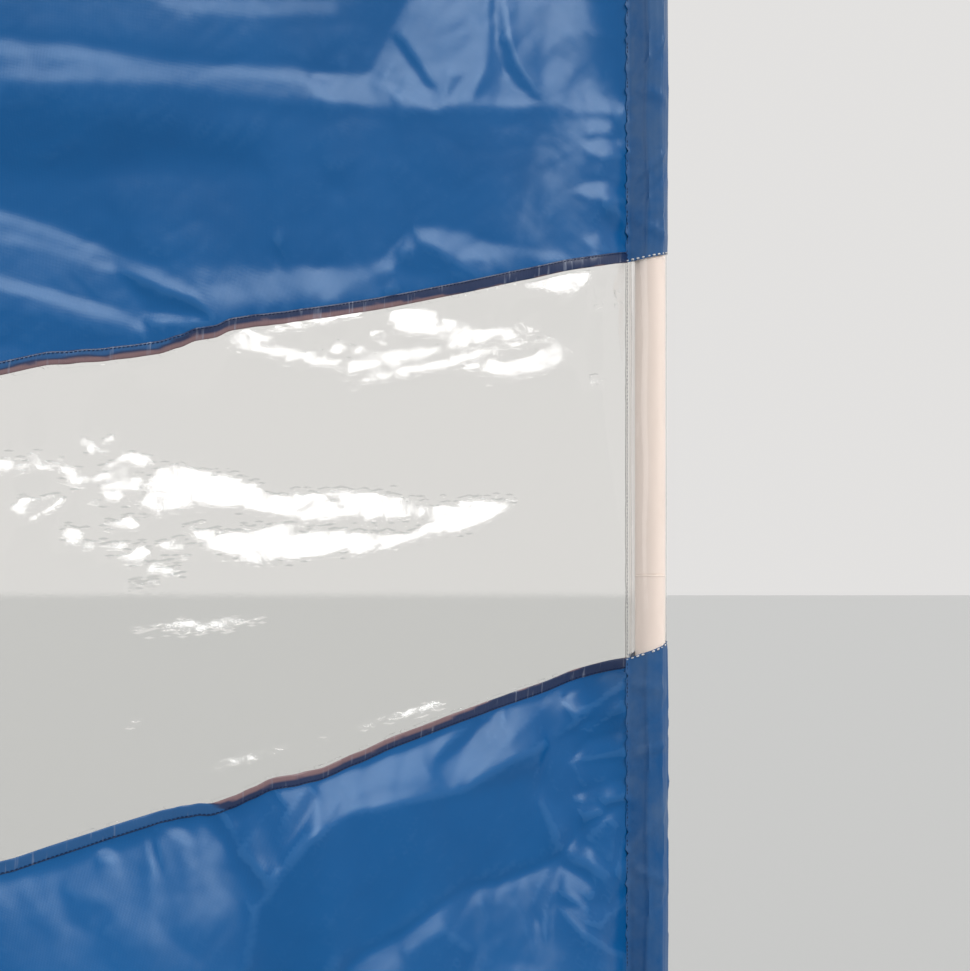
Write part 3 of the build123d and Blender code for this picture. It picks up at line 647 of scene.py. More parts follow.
def bay_relief(bay):
    """How far each point of a bay's table stands forward, and how sharply it is folded there; on the
    film, how far it leans upwards."""
    random = np.random.default_rng(40 + bay)
    along, above = bay_table(bay)
    near, far = along[0, 0] * 1000, along[-1, 0] * 1000
    hem_low, hem_high = 0, window_height * 1000
    foot, head = table_low * 1000, table_high * 1000
    folds = []
    if bay == 1:
        folds += film_folds + upper_folds + lower_folds
        folds += random_folds(random, 720, far - 60, hem_high + 20, head - 20, 16)
        folds += random_folds(random, 60, 720, hem_high + 280, head - 20, 8)
        folds += random_folds(random, 720, far - 60, foot + 20, hem_low - 20, 16)
        folds += random_folds(random, 60, 720, foot + 20, hem_low - 270, 8)
        folds += random_folds(random, 740, far - 60, hem_low + 30, hem_high - 30, 5)
        folds += seam_folds(random, near, 1, hem_high + 260, head) + seam_folds(random, near, 1, foot, -260)
    else:
        folds += random_folds(random, near + 40, far - 40, hem_high + 20, head - 20, 30)
        folds += random_folds(random, near + 40, far - 40, foot + 20, hem_low - 20, 30)
        folds += random_folds(random, near + 40, far - 40, hem_low + 30, hem_high - 30, 8)
        folds += seam_folds(random, near, 1, hem_high, head) + seam_folds(random, near, 1, foot, hem_low)
    folds += seam_folds(random, far, -1, hem_high, head) + seam_folds(random, far, -1, foot, hem_low)
    lean = [np.zeros_like(along), np.zeros_like(along)]
    in_window = ease((above - 0.002) / 0.006) * ease((window_height - 0.002 - above) / 0.006)
    wobble = ripple(random, along.shape, 0.0065, 1, 0) + ripple(random, along.shape, 0.013, 1, 0)
    jag = in_window * film_fold_jag * wobble
    for up, side, soft, outline in folds:
        facet(lean, along, above, jag, up, side, soft, outline)
    flashing = ease(-lean[1] / 0.2)
    relief = relief_from_lean(lean)
    from_edge = ease((along - near / 1000) / 0.03) * ease((far / 1000 - along) / 0.03)
    creased = crumple(random, along.shape, 0.060, 1.6, 0.6) + crumple(random, along.shape, 0.034, 2.2, -0.5)
    relief += cloth_crease_depth * (creased - 2) * (1 - in_window) * from_edge
    gathered = crumple(random, along.shape, 0.021, 1.8, 0.9) + crumple(random, along.shape, 0.012, 2.0, -0.7)
    by_seam = ease((0.16 - np.minimum(along - near / 1000, far / 1000 - along)) / 0.12)
    relief += cloth_gather_depth * (gathered - 2) * (1 - in_window) * from_edge * (0.8 + 0.6 * by_seam)
    rippled = crumple(random, along.shape, 0.013, 1.6, 0.3) + crumple(random, along.shape, 0.007, 1.4, 1.1)
    relief += film_crinkle_depth * (rippled - 2) * in_window * from_edge * (0.04 + flashing)
    folded = -np.gradient(np.gradient(relief, table_step, axis=0), table_step, axis=0)
    folded -= np.gradient(np.gradient(relief, table_step, axis=1), table_step, axis=1)
    return relief, np.where(in_window > 0, flashing, folded)


# The window's hems are not quite straight: they wander up and down a few millimetres, the more so
# where a fold of the cloth runs into them. Each pair is a distance and a height. The pairs written
# out here were measured in the photograph by a separate program.
head_wander = {
    1: [(24, 0.8), (54, 1.3), (88, 2.4), (126, 1.4), (190, 0.0), (256, -0.7), (290, -0.1), (330, 1.3), (345, 2.2)]
    + [(359, 3.2), (375, 3.4), (388, 0.4), (401, 0.8), (414, -1.8), (428, -3.5), (443, -3.1), (466, -1.9), (491, 0.4)]
    + [(510, 2.5), (545, 1.3), (620, 0.0)]
}
foot_wander = {
    1: [(24, 1.3), (54, 0.2), (90, -1.6), (126, -0.9), (177, -0.7), (235, -1.5), (272, -4.0), (302, -6.0), (320, -3.9)]
    + [(345, -0.9), (359, -2.9), (373, -4.8), (388, -5.5), (401, -2.4), (414, -0.6), (428, 0.7), (453, 1.0)]
    + [(504, 1.2), (528, 0.9), (545, 2.1), (620, 0.0)]
}
wander_reach = 0.1
random = np.random.default_rng(17)
for wander in (head_wander, foot_wander):
    for bay in bay_numbers:
        wander.setdefault(bay, [(28, 0.0)])
        while wander[bay][-1][0] < 1350:
            wander[bay].append((wander[bay][-1][0] + random.uniform(35, 90), random.uniform(-3.5, 3.5)))
        wander[bay].append((1470, 0.0))


def hem_shift(knots, along):
    """How far a hem lies above its straight line."""
    distances, heights = np.array(knots).T / 1000
    place = np.interp(along, distances, np.arange(len(knots)))
    knot = np.minimum(place.astype(int), len(knots) - 2)
    return heights[knot] + (heights[knot + 1] - heights[knot]) * ease(place - knot)


def sample(field, across, up):
    """Reads a table between its points; both shares run from 0 to 1 over it."""
    columns, rows = field.shape
    a = np.clip(across, 0, 1) * (columns - 1)
    b = np.clip(up, 0, 1) * (rows - 1)
    i = np.minimum(a.astype(int), columns - 2)
    j = np.minimum(b.astype(int), rows - 2)
    a, b = a - i, b - j
    near = field[i, j] * (1 - b) + field[i, j + 1] * b
    far = field[i + 1, j] * (1 - b) + field[i + 1, j + 1] * b
    return near * (1 - a) + far * a


bay_reliefs = {bay: bay_relief(bay) for bay in bay_numbers}


def on_sheet(bay, along, above, proud=0.0):
    """Places on a bay's sheet, with how sharply it is folded there; proud is how far in front of it."""
    x = pole_x[bay - 1] - along
    right, left = bay_seams(bay)
    across = (right - x) / (right - left)
    up = (above - table_low) / (table_high - table_low)
    relief, folded = (sample(field, across, up) for field in bay_reliefs[bay])
    z = window_foot - hang_drop(x) + above
    z = z + hem_shift(head_wander[bay], along) * (1 - ease(np.abs(above - window_height) / wander_reach))
    z = z + hem_shift(foot_wander[bay], along) * (1 - ease(np.abs(above) / wander_reach))
    return x, billow(bay, x) - relief - proud, z, folded


def lay_grid(name, columns, rows, place):
    """A grid of quads whose points are laid by place(s, t), which also gives its UV and fold values."""
    bpy.ops.object.select_all(action="DESELECT")
    bpy.ops.mesh.primitive_grid_add(x_subdivisions=columns, y_subdivisions=rows, size=2)
    piece = bpy.context.object
    piece.name = piece.data.name = name
    points = np.empty(len(piece.data.vertices) * 3)
    piece.data.vertices.foreach_get("co", points)
    points = points.reshape(-1, 3)
    x, y, z, u, v, folded = place((points[:, 0] + 1) / 2, (points[:, 1] + 1) / 2)
    piece.data.vertices.foreach_set("co", np.column_stack((x, y, z)).ravel())
    corners = np.empty(len(piece.data.loops), dtype=int)
    piece.data.loops.foreach_get("vertex_index", corners)
    piece.data.uv_layers[0].data.foreach_set("uv", np.column_stack((u, v))[corners].ravel())
    attribute = piece.data.attributes.new("folded", "FLOAT", "POINT")
    attribute.data.foreach_set("value", np.asarray(folded, dtype=float))
    piece.data.update()
    return piece


def give_thickness(piece, thickness):
    """Turns a laid sheet into one of its real thickness, centred on where it was laid."""
    pick(piece)
    bpy.ops.object.modifier_add(type="SOLIDIFY")
    piece.modifiers["Solidify"].thickness = thickness
    piece.modifiers["Solidify"].offset = 0
    bpy.ops.object.modifier_apply(modifier="Solidify")
    bpy.ops.object.shade_smooth_by_angle(angle=math.radians(50))
    return piece


coarse_pitch = 0.012
cloth_stretch = (0.575, 0.0028, 0.0028)
film_stretch = (0.575, 0.0040, 0.0018)


def band_grid(name, bay, low, high, fine_low, fine_high, fine=None):
    """One band of one bay, laid finely where the folds are small and coarsely elsewhere."""
    right, left = bay_seams(bay)
    near = pole_x[bay - 1] - right - seam_lap
    far = pole_x[bay - 1] - left + seam_lap
    stops_across = [(near, 0), (far, int((far - near) / coarse_pitch))]
    stops_up = [(low, 0), (high, int((high - low) / coarse_pitch))]
    if fine:
        fine_far, column, row = fine
        fine_columns = int((fine_far - near) / column)
        coarse_columns = int((far - fine_far) / coarse_pitch)
        stops_across = [(near, 0), (fine_far, fine_columns), (far, fine_columns + coarse_columns)]
        rows_below = int((fine_low - low) / coarse_pitch)
        fine_rows = rows_below + int((fine_high - fine_low) / row)
        stops_up = [(low, 0), (fine_low, rows_below), (fine_high, fine_rows)]
        stops_up.append((high, fine_rows + int((high - fine_high) / coarse_pitch)))
    columns, rows = stops_across[-1][1], stops_up[-1][1]

    def place(s, t):
        along = np.interp(s * columns, [count for stop, count in stops_across], [stop for stop, count in stops_across])
        above = np.interp(t * rows, [count for stop, count in stops_up], [stop for stop, count in stops_up])
        x, y, z, folded = on_sheet(bay, along, above)
        return x, y, z, -along, above, folded

    return lay_grid(name, columns, rows, place)


# Cloth: plain-woven nylon with a polyurethane coat, 0.25 mm thick, in one blue. It creases sharply
# and shines like satin where a fold turns to the light. One panel above and one below each window.
cloth_thickness = 0.00035
cloth_blue = (0.001, 0.089, 0.280, 1.0)
cloth_deep = (0.000, 0.077, 0.250, 1.0)
# Paler colour for fold crests: partly rubbed wear, partly painted highlight.
cloth_crest_wear_and_highlight = (0.020, 0.118, 0.315, 1.0)
cloth_shine = (0.75, 0.90, 1.0, 1.0)
weave_pitch = 0.0005


def weave_bump(tree, shader, strength, distance):
    """A plain weave from the cloth's UV map, which is in metres."""
    place = add_node(tree, "ShaderNodeUVMap", uv_map="UVMap")
    crossing = add_node(tree, "ShaderNodeMath", operation="ADD")
    scale = {"Scale": 0.5 / weave_pitch / math.pi}
    for socket, direction in enumerate("XY"):
        threads = add_node(tree, "ShaderNodeTexWave", scale, bands_direction=direction, wave_profile="SIN")
        wire(place, "UV", threads, "Vector")
        wire(threads, "Fac", crossing, socket)
    emboss(crossing, "Value", shader, strength, distance)


def cloth_finish(name, blue, deep, crest_wear_and_highlight, roughness, patches):
    """Coated nylon: slightly uneven dye, crests paler by wear and painted highlight, and a satin shine."""
    material, tree, shader = new_finish(name)
    place = add_node(tree, "ShaderNodeTexCoord")
    dye = add_node(tree, "ShaderNodeTexNoise", {"Scale": patches, "Detail": 5.0, "Roughness": 0.6})
    wire(place, "Object", dye, "Vector")
    dyed = two_tone(tree, dye.outputs["Fac"], 0.35, 0.65, deep, blue)
    # Fold crests turn paler: partly rubbed wear, partly painted highlight.
    folded = add_node(tree, "ShaderNodeAttribute", attribute_name="folded")
    ridge = add_node(tree, "ShaderNodeMapRange", {"From Min": 4.0, "From Max": 60.0, "To Max": 0.55})
    crest_paling = add_node(tree, "ShaderNodeMix", {"B": crest_wear_and_highlight}, data_type="RGBA")
    wire(folded, "Fac", ridge, "Value")
    wire(ridge, "Result", crest_paling, "Factor")
    tree.links.new(dyed, crest_paling.inputs["A"])
    wire(crest_paling, "Result", shader, "Base Color")
    weave_bump(tree, shader, 0.25, 0.00006)
    set_values(shader, {"Roughness": roughness, "IOR": 1.40, "Specular Tint": cloth_shine})
    return material


cloth_blue_finish = cloth_finish("coated_blue_nylon", cloth_blue, cloth_deep, cloth_crest_wear_and_highlight, 0.25, 7.0)


def dress_sheet(piece, node, finish):
    """Gives a sheet its finish, hides the part of the node it stands for and hangs it on the root body."""
    piece.data.materials.append(finish)
    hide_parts(node)
    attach(piece, "root")


cloth_sheets = {}
for bay in bay_numbers:
    top = band_grid(
        f"upper_blue_cloth_{bay}",
        bay,
        window_height,
        table_high,
        window_height,
        window_height + 0.25,
        cloth_stretch if bay == 1 else None,
    )
    bottom = band_grid(
        f"lower_blue_cloth_{bay}", bay, table_low, 0.0, -0.24, 0.0, cloth_stretch if bay == 1 else None
    )
    for piece, node, height in ((top, "upper_cloth", upper_band_height), (bottom, "lower_cloth", lower_band_height)):
        give_thickness(piece, cloth_thickness)
        dress_sheet(piece, f"{node}_{bay}", cloth_blue_finish)
        cloth_sheets[f"{node}_{bay}"] = (piece, height)


# Window: clear soft PVC film, 0.4 mm thick, sewn in between the two cloth panels of each bay. It keeps
# the creases of its folding, which flash white where they turn to the light.
film_thickness = 0.0004
film_tint = (0.93, 0.925, 0.905, 1.0)


def film_finish(name, tint):
    """Clear film: glass-like and crinkled where it leans, with a softer gloss on top; lamps shine through."""
    material, tree, shader = new_finish(name)
    place = add_node(tree, "ShaderNodeTexCoord")
    crinkle = add_node(tree, "ShaderNodeTexNoise", {"Scale": 240.0, "Detail": 4.0, "Roughness": 0.65})
    leaning = add_node(tree, "ShaderNodeAttribute", attribute_name="folded")
    ease_off = add_node(tree, "ShaderNodeMapRange", {"From Max": 0.6, "To Min": 0.06})
    depth = add_node(tree, "ShaderNodeMath", operation="MULTIPLY")
    wire(place, "Object", crinkle, "Vector")
    wire(leaning, "Fac", ease_off, "Value")
    wire(crinkle, "Fac", depth, 0)
    wire(ease_off, "Result", depth, 1)
    emboss(depth, "Value", shader, 0.5, 0.0006)
    set_values(shader, {"Base Color": tint, "Roughness": 0.0, "IOR": 1.45, "Transmission Weight": 1.0})
    set_values(shader, {"Coat Weight": 0.35, "Coat Roughness": 0.18})
    rays = add_node(tree, "ShaderNodeLightPath")
    clear = add_node(tree, "ShaderNodeBsdfTransparent", {"Color": tint})
    mix = add_node(tree, "ShaderNodeMixShader")
    output = tree.nodes["Material Output"]
    wire(rays, "Is Shadow Ray", mix, "Fac")
    wire(shader, "BSDF", mix, 1)
    wire(clear, "BSDF", mix, 2)
    wire(mix, "Shader", output, "Surface")
    return material


clear_film = film_finish("clear_pvc_film", film_tint)
for bay in bay_numbers:
    window = band_grid(
        f"clear_window_{bay}", bay, 0.0, window_height, 0.0, window_height, film_stretch if bay == 1 else None
    )
    give_thickness(window, film_thickness)
    dress_sheet(window, f"window_{bay}", clear_film)
    cloth_sheets[f"window_{bay}"] = (window, window_height)


# Sleeves: the sheet's cloth wrapped round each pole and stitched flat to itself beside it. The end
# poles have one seam, on the sheet's side, and the inner poles one on either side.
wrap_radius = 0.0132
ply_gap = 0.0004
ply_edge = 0.0240
seam_line = 0.0229
pinch_line = 0.0205
inner_ply_edge = 0.0255
inner_pinch_line = 0.0230
wrap_corners = (-186, -131, -81, -34, 13, 60, 107, 154, 229)
blue_slack = 0.00045
film_slack = 0.0001


# On the photographed pole the lower sleeve's top edge climbs, and its loose cloth bulges out behind:
# each bulge has a height above the window's lower hem, half its length and its size.
sleeve_ruffles = [(-0.060, 0.007, 0.0026), (-0.075, 0.006, 0.0022), (-0.109, 0.009, 0.0032)]
sleeve_ruffles += [(-0.140, 0.012, 0.0015), (-0.163, 0.012, 0.0017), (-0.185, 0.010, 0.0015)]


# Small slanting folds across the photographed sleeve: height above the window's lower hem, how far it
# climbs for each metre across, half its width and its size.
sleeve_creases = [(0.404, 0.7, 0.005, 0.0012), (0.385, 0.9, 0.004, -0.0008), (0.344, -0.8, 0.006, 0.0010)]
sleeve_creases += [(0.356, 0.3, 0.004, -0.0007), (0.455, -0.6, 0.007, 0.0009), (0.495, 1.2, 0.006, 0.0010)]
sleeve_creases += [(-0.030, -0.5, 0.006, 0.0010), (-0.048, 0.8, 0.005, -0.0008), (-0.077, 0.1, 0.0035, 0.0013)]
sleeve_creases += [(-0.135, 1.1, 0.007, 0.0009), (-0.185, -0.7, 0.006, 0.0011), (-0.205, 0.5, 0.005, -0.0007)]


def sleeve_rise(offset):
    """How far the lower sleeve's edge climbs above its line from the seam to the pole's far side."""
    return 0.0015 + 0.0058 * np.clip((offset + 0.0205) / 0.033, 0, 1)


def wrap_path(pole):
    """The sleeve's line round a pole, seen from above, as offsets from its axis, front plies first."""
    first, last = (pole == end_pole for end_pole in end_poles)
    edge, pinch = (ply_edge, pinch_line) if first or last else (inner_ply_edge, inner_pinch_line)
    slant = math.acos(wrap_radius / pinch)
    if first:
        angles = np.linspace(math.pi + slant, 3 * math.pi - slant, 40)
    elif last:
        angles = np.linspace(2 * math.pi - slant, slant, 40)
    else:
        angles = np.linspace(math.pi + slant, 2 * math.pi - slant, 20)
    arc = [(wrap_radius * math.cos(angle), wrap_radius * math.sin(angle)) for angle in angles]
    if first:
        return [(-edge, -ply_gap), (-pinch, -ply_gap)] + arc + [(-pinch, ply_gap), (-edge, ply_gap)]
    if last:
        return [(edge, -ply_gap), (pinch, -ply_gap)] + arc + [(pinch, ply_gap), (edge, ply_gap)]
    return [(-edge, -ply_gap), (-pinch, -ply_gap)] + arc + [(pinch, -ply_gap), (edge, -ply_gap)]


def wrap_slack(turn, height, random):
    """How far a loose sleeve stands off its round, as a share of its radius: it lies nearly flat
    between a few long creases that wander along the pole."""
    corners = np.array(wrap_corners)[:, None] + np.zeros(len(height))
    for row in range(1, len(corners) - 1):
        start, pitch = random.uniform(0, 6.28), random.uniform(0.09, 0.2)
        corners[row] += 5 * np.sin(2 * np.pi * height / pitch + start)
    stand_off = np.zeros_like(height)
    for left, right in zip(corners[:-1], corners[1:]):
        half = np.radians(right - left) / 2
        chord = np.cos(half * 0.35) / np.cos(np.radians(turn - (left + right) / 2)) - 1
        stand_off = np.where((turn >= left) & (turn < right), np.maximum(chord, 0), stand_off)
    return stand_off


def sleeve_grid(name, pole, path, low, high, step, slack):
    """A sleeve laid along a path round its pole between two of the sheet's lines."""
    x0 = pole_x[pole - 1]
    points = np.array(path)
    runs = np.concatenate([[0], np.cumsum(np.hypot(*np.diff(points, axis=0).T))])
    girth = runs[-1]
    columns = int(girth / 0.0013)
    rows = int((high - low) / step)
    random = np.random.default_rng(70 + pole)
    creases = list(sleeve_creases) if pole == 1 else []
    for _ in range(28):
        height = random.uniform(table_low, table_high)
        if pole > 1 or not -0.27 < height < 0.58:
            climb, half, size = random.uniform(-1.2, 1.2), random.uniform(0.004, 0.007), random.uniform(-0.001, 0.0013)
            creases.append((height, climb, half, size))

    def place(s, t):
        around = s * girth
        px = np.interp(around, runs, points[:, 0])
        py = np.interp(around, runs, points[:, 1])
        above = low + t * (high - low)
        if pole == 1:
            above = above + sleeve_rise(px) * ease(1 - np.abs(above) / 0.08)
        z = window_foot - hang_drop(x0 + px) + above
        away = np.maximum(np.hypot(px, py), 1e-6)
        free = ease((pinch_line - 0.001 - np.abs(px)) / 0.006)
        turn = (np.degrees(np.arctan2(py, px)) + 186) % 360 - 186
        waves = np.zeros_like(z)
        for length, size in ((0.31, 1.0), (0.17, 0.7), (0.083, 0.5), (0.041, 0.3)):
            start, twist = random.uniform(0, 6.28, 2)
            waves += size * np.sin(2 * np.pi * z / length + start + 40 * px * math.sin(twist))
        swell = slack * free * (waves + 1.6) / 2.5
        swell = swell + wrap_radius * free * wrap_slack(turn, z, random) * slack / blue_slack
        if pole == 1 and slack == blue_slack:
            for height, half, size in sleeve_ruffles:
                swell += size * ease(1 - np.abs(above - height) / half) * ease(1 - np.abs(turn + 12) / 30)
        for height, climb, half, size in creases if slack == blue_slack else []:
            in_front = free * ease((0.010 - px) / 0.005)
            swell += size * in_front * ease(1 - np.abs(above - height - climb * px) / half)
        gathers = np.zeros_like(z)
        for pitch in (0.0083, 0.0127, 0.0051):
            gathers += np.sin(2 * np.pi * z / pitch + random.uniform(0, 6.28) + 2 * np.sin(2 * np.pi * z / 0.053))
        gathers *= slack * (1 - free)
        px = px + px / away * swell + np.sign(px) * 1.4 * gathers * ease((np.abs(px) - 0.021) / 0.002)
        py = py + py / away * swell + np.where(py < 0, -1, 1) * np.abs(gathers) * ease((np.abs(px) - 0.012) / 0.006)
        return x0 + px, py, z, around, above, 0 * z

    return lay_grid(name, columns, rows, place)


def make_sleeve(pole, name, bands, thickness, step, slack):
    """Every stretch of a pole's sleeve that one material makes, as one piece."""
    front = wrap_path(pole)
    paths = [front] if pole in end_poles else [front, [(x, -y) for x, y in reversed(front)]]
    laid = [
        give_thickness(sleeve_grid(name, pole, path, low, high, step, slack), thickness)
        for low, high in bands
        for path in paths
    ]
    return join(laid, name)


# The sleeves are the same nylon as the cloth; their greyer blues are painted sheen, and their crest colour is wear and
# painted highlight.
sleeve_painted_sheen_blue = (0.040, 0.105, 0.240, 1.0)
sleeve_painted_sheen_deep = (0.004, 0.074, 0.235, 1.0)
sleeve_crest_wear_and_highlight = (0.11, 0.19, 0.37, 1.0)
sleeve_painted_sheen_finish = cloth_finish("coated_blue_nylon_sleeve_painted_sheen", sleeve_painted_sheen_blue, sleeve_painted_sheen_deep, sleeve_crest_wear_and_highlight, 0.34, 26.0)
for pole in pole_numbers:
    path = np.array(wrap_path(pole))
    blue = make_sleeve(
        pole,
        f"blue_sleeve_{pole}",
        [(table_low, 0.0), (window_height, table_high)],
        cloth_thickness,
        0.0035 if pole == 1 else 0.010,
        blue_slack,
    )
    dress_sheet(blue, f"sleeve_{pole}", sleeve_painted_sheen_finish)


# Film sleeves: the window's clear film goes round the poles too, between the two lengths of blue
# sleeve, so the pole and its joint show through it.
sleeve_film = film_finish("clear_pvc_film_sleeve", (0.98, 0.975, 0.965, 1.0))
for pole in pole_numbers:
    clear = make_sleeve(pole, f"clear_sleeve_{pole}", [(0.0, window_height)], film_thickness, 0.008, film_slack)
    dress_sheet(clear, f"window_sleeve_{pole}", sleeve_film)


# Hems: along both edges of the window the film laps over the folded edge of the cloth and is sewn
# down, which makes a dark glossy strip. The sheet's own head and foot are turned over and sewn.
hem_thickness = 0.0007
window_hem_width = 0.008
window_hem_lap = 0.001
edge_hem_width = 0.016
hem_turn_in = 0.00015
hem_rows = 8
hem_navy = (0.010, 0.026, 0.085, 1.0)
# Brown: a painted reflection of sand in the film over the hem.
hem_painted_sand_reflection = (0.205, 0.125, 0.135, 1.0)
hem_blue = (0.010, 0.085, 0.240, 1.0)
# Pale ticks: painted glints of the film's gloss.
hem_painted_glint = (0.30, 0.34, 0.44, 1.0)

# How much of a window hem's width shows brown, a painted reflection of sand, and then navy, from the
# film's edge: each row is a distance, the share where the brown ends and the share where the navy does.
head_cover = [
    (0, 0, 1.1),
    (180, 0, 1.1),
    (240, 0.4, 1.1),
    (390, 0.42, 1.1),
    (430, 0.38, 0.52),
    (600, 0.38, 0.52),
    (620, 0, 1.1),
]
foot_cover = [
    (0, 0, 1.1),
    (150, 0, 1.1),
    (190, 0.4, 1.1),
    (375, 0.4, 1.1),
    (392, -0.1, -0.1),
    (600, -0.1, -0.1),
    (620, 0, 1.1),
]


def hem_cover(cover, along, share):
    """What shows on a window hem: 0 is brown, a painted reflection of sand, 0.5 is navy and 1 is plain cloth."""
    distances, browns, navies = np.array(cover).T
    distance = along * 1000 % 620
    brown = np.interp(distance, distances, browns) + 0.05 * np.sin(along * 130) + 0.04 * np.sin(along * 347)
    navy = np.interp(distance, distances, navies) + 0.05 * np.sin(along * 171)
    shows = 0.5 * ease((share - brown) / 0.12 + 0.5) + 0.5 * ease((share - navy) / 0.12 + 0.5)
    return np.where(shows > 0.9, shows - 0.5 * ease((share - 0.86) / 0.08), shows)


def hem_grid(name, bay, low, high, swell):
    """A strip along one of a bay's lines, lying on the front of the sheet, slightly swollen and turned
    in sharply at both edges."""
    right, left = bay_seams(bay)
    near, far = pole_x[bay - 1] - right - 0.001, pole_x[bay - 1] - left + 0.001
    columns = int((far - near) / (0.003 if bay == 1 else 0.010))
    random = np.random.default_rng(90 + bay + int(1000 * abs(high)))
    starts = random.uniform(0, 6.28, 6)

    def place(s, t):
        t = 0.5 - 0.5 * np.cos(math.pi * t)
        along = near + s * (far - near)
        above = low + t * (high - low)
        pleats = np.zeros_like(along)
        for start, length in zip(starts, (0.043, 0.029, 0.017, 0.0121, 0.0093, 0.071)):
            pleats += np.sin(2 * np.pi * along / length + start + 25 * (above - low))
        crown = np.sqrt(np.maximum(4 * t * (1 - t), 0))
        turned_in = ease(np.minimum(t, 1 - t) * (high - low) / hem_turn_in)
        proud = turned_in * (cloth_thickness / 2 + 0.0001) - 0.0001 + crown * (swell + 0.0001 * pleats)
        x, y, z, _ = on_sheet(bay, along, above, proud)
        shows = hem_cover(head_cover, along, t) if low > 0 else hem_cover(foot_cover, along, 1 - t)
        return x, y, z, -along, above, shows

    return lay_grid(name, columns, hem_rows, place)


def window_hem_finish():
    """Film over folded cloth: navy under gloss, with brown painted reflection of sand and pale painted glints."""
    material, tree, shader = new_finish("glossy_window_hem")
    place = add_node(tree, "ShaderNodeUVMap", uv_map="UVMap")
    shows = add_node(tree, "ShaderNodeAttribute", attribute_name="folded")
    ramp = add_node(tree, "ShaderNodeValToRGB")
    ramp.color_ramp.elements[0].color = hem_painted_sand_reflection
    ramp.color_ramp.elements[1].color = hem_blue
    ramp.color_ramp.elements.new(0.5).color = hem_navy
    wire(shows, "Fac", ramp, "Fac")
    # Pale upright ticks mixed into the colour are painted glints.
    ticks = add_node(tree, "ShaderNodeTexNoise", {"Scale": 190.0, "Detail": 2.0, "Roughness": 0.7})
    upright = add_node(tree, "ShaderNodeMapping", {"Scale": (1.0, 0.12, 1.0)})
    pale = add_node(tree, "ShaderNodeMapRange", {"From Min": 0.58, "From Max": 0.72, "To Max": 0.5})
    ticked = add_node(tree, "ShaderNodeMix", {"B": hem_painted_glint}, data_type="RGBA")
    wire(place, "UV", upright, "Vector")
    wire(upright, "Vector", ticks, "Vector")
    wire(ticks, "Fac", pale, "Value")
    wire(pale, "Result", ticked, "Factor")
    wire(ramp, "Color", ticked, "A")
    wire(ticked, "Result", shader, "Base Color")
    narrow = add_node(tree, "ShaderNodeMapping", {"Scale": (1.0, 0.3, 1.0)})
    pleats = add_node(tree, "ShaderNodeTexNoise", {"Scale": 260.0, "Detail": 2.0})
    wire(place, "UV", narrow, "Vector")
    wire(narrow, "Vector", pleats, "Vector")
    emboss(pleats, "Fac", shader, 0.6, 0.0008)
    set_values(shader, {"Roughness": 0.36, "IOR": 1.40, "Coat Weight": 0.15, "Coat Roughness": 0.15})
    return material


def make_hem(name, node, finish, low, high, swell):
    """One line's hem strips in all bays, as one piece."""
    strips = [give_thickness(hem_grid(name, bay, low, high, swell), hem_thickness / 2) for bay in bay_numbers]
    hem = join(strips, name)
    dress_sheet(hem, node, finish)
    return hem


window_hem = window_hem_finish()
hems = [
    make_hem(
        "window_foot_hem", "window_hem_lower", window_hem, -window_hem_width, window_hem_lap, 0.0003
    ),
    make_hem(
        "window_head_hem",
        "window_hem_upper",
        window_hem,
        window_height - window_hem_lap,
        window_height + window_hem_width,
        0.0003,
    ),
    make_hem(
        "turned_foot_hem", "foot_hem", cloth_blue_finish, table_low, table_low + edge_hem_width, 0.0004
    ),
    make_hem(
        "turned_head_hem", "head_hem", cloth_blue_finish, table_high - edge_hem_width, table_high, 0.0004
    ),
]


# Stitching: lockstitch in polyester thread down both sides of each pole, along the window's hems and
# across the ends of the sleeves, where a paler thread shows.
stitch_pitch = 0.0032
stitch_size = (0.0026, 0.0007, 0.0006)
edge_stitch_pitch = 0.0045
edge_stitch_size = (0.0030, 0.0017, 0.0013)
window_stitch_inset = 0.0012
edge_stitch_inset = 0.003
navy_thread = (0.012, 0.022, 0.07, 1.0)
hem_thread = (0.010, 0.025, 0.09, 1.0)
grey_thread = (0.23, 0.23, 0.26, 1.0)
pale_thread = (0.82, 0.81, 0.80, 1.0)


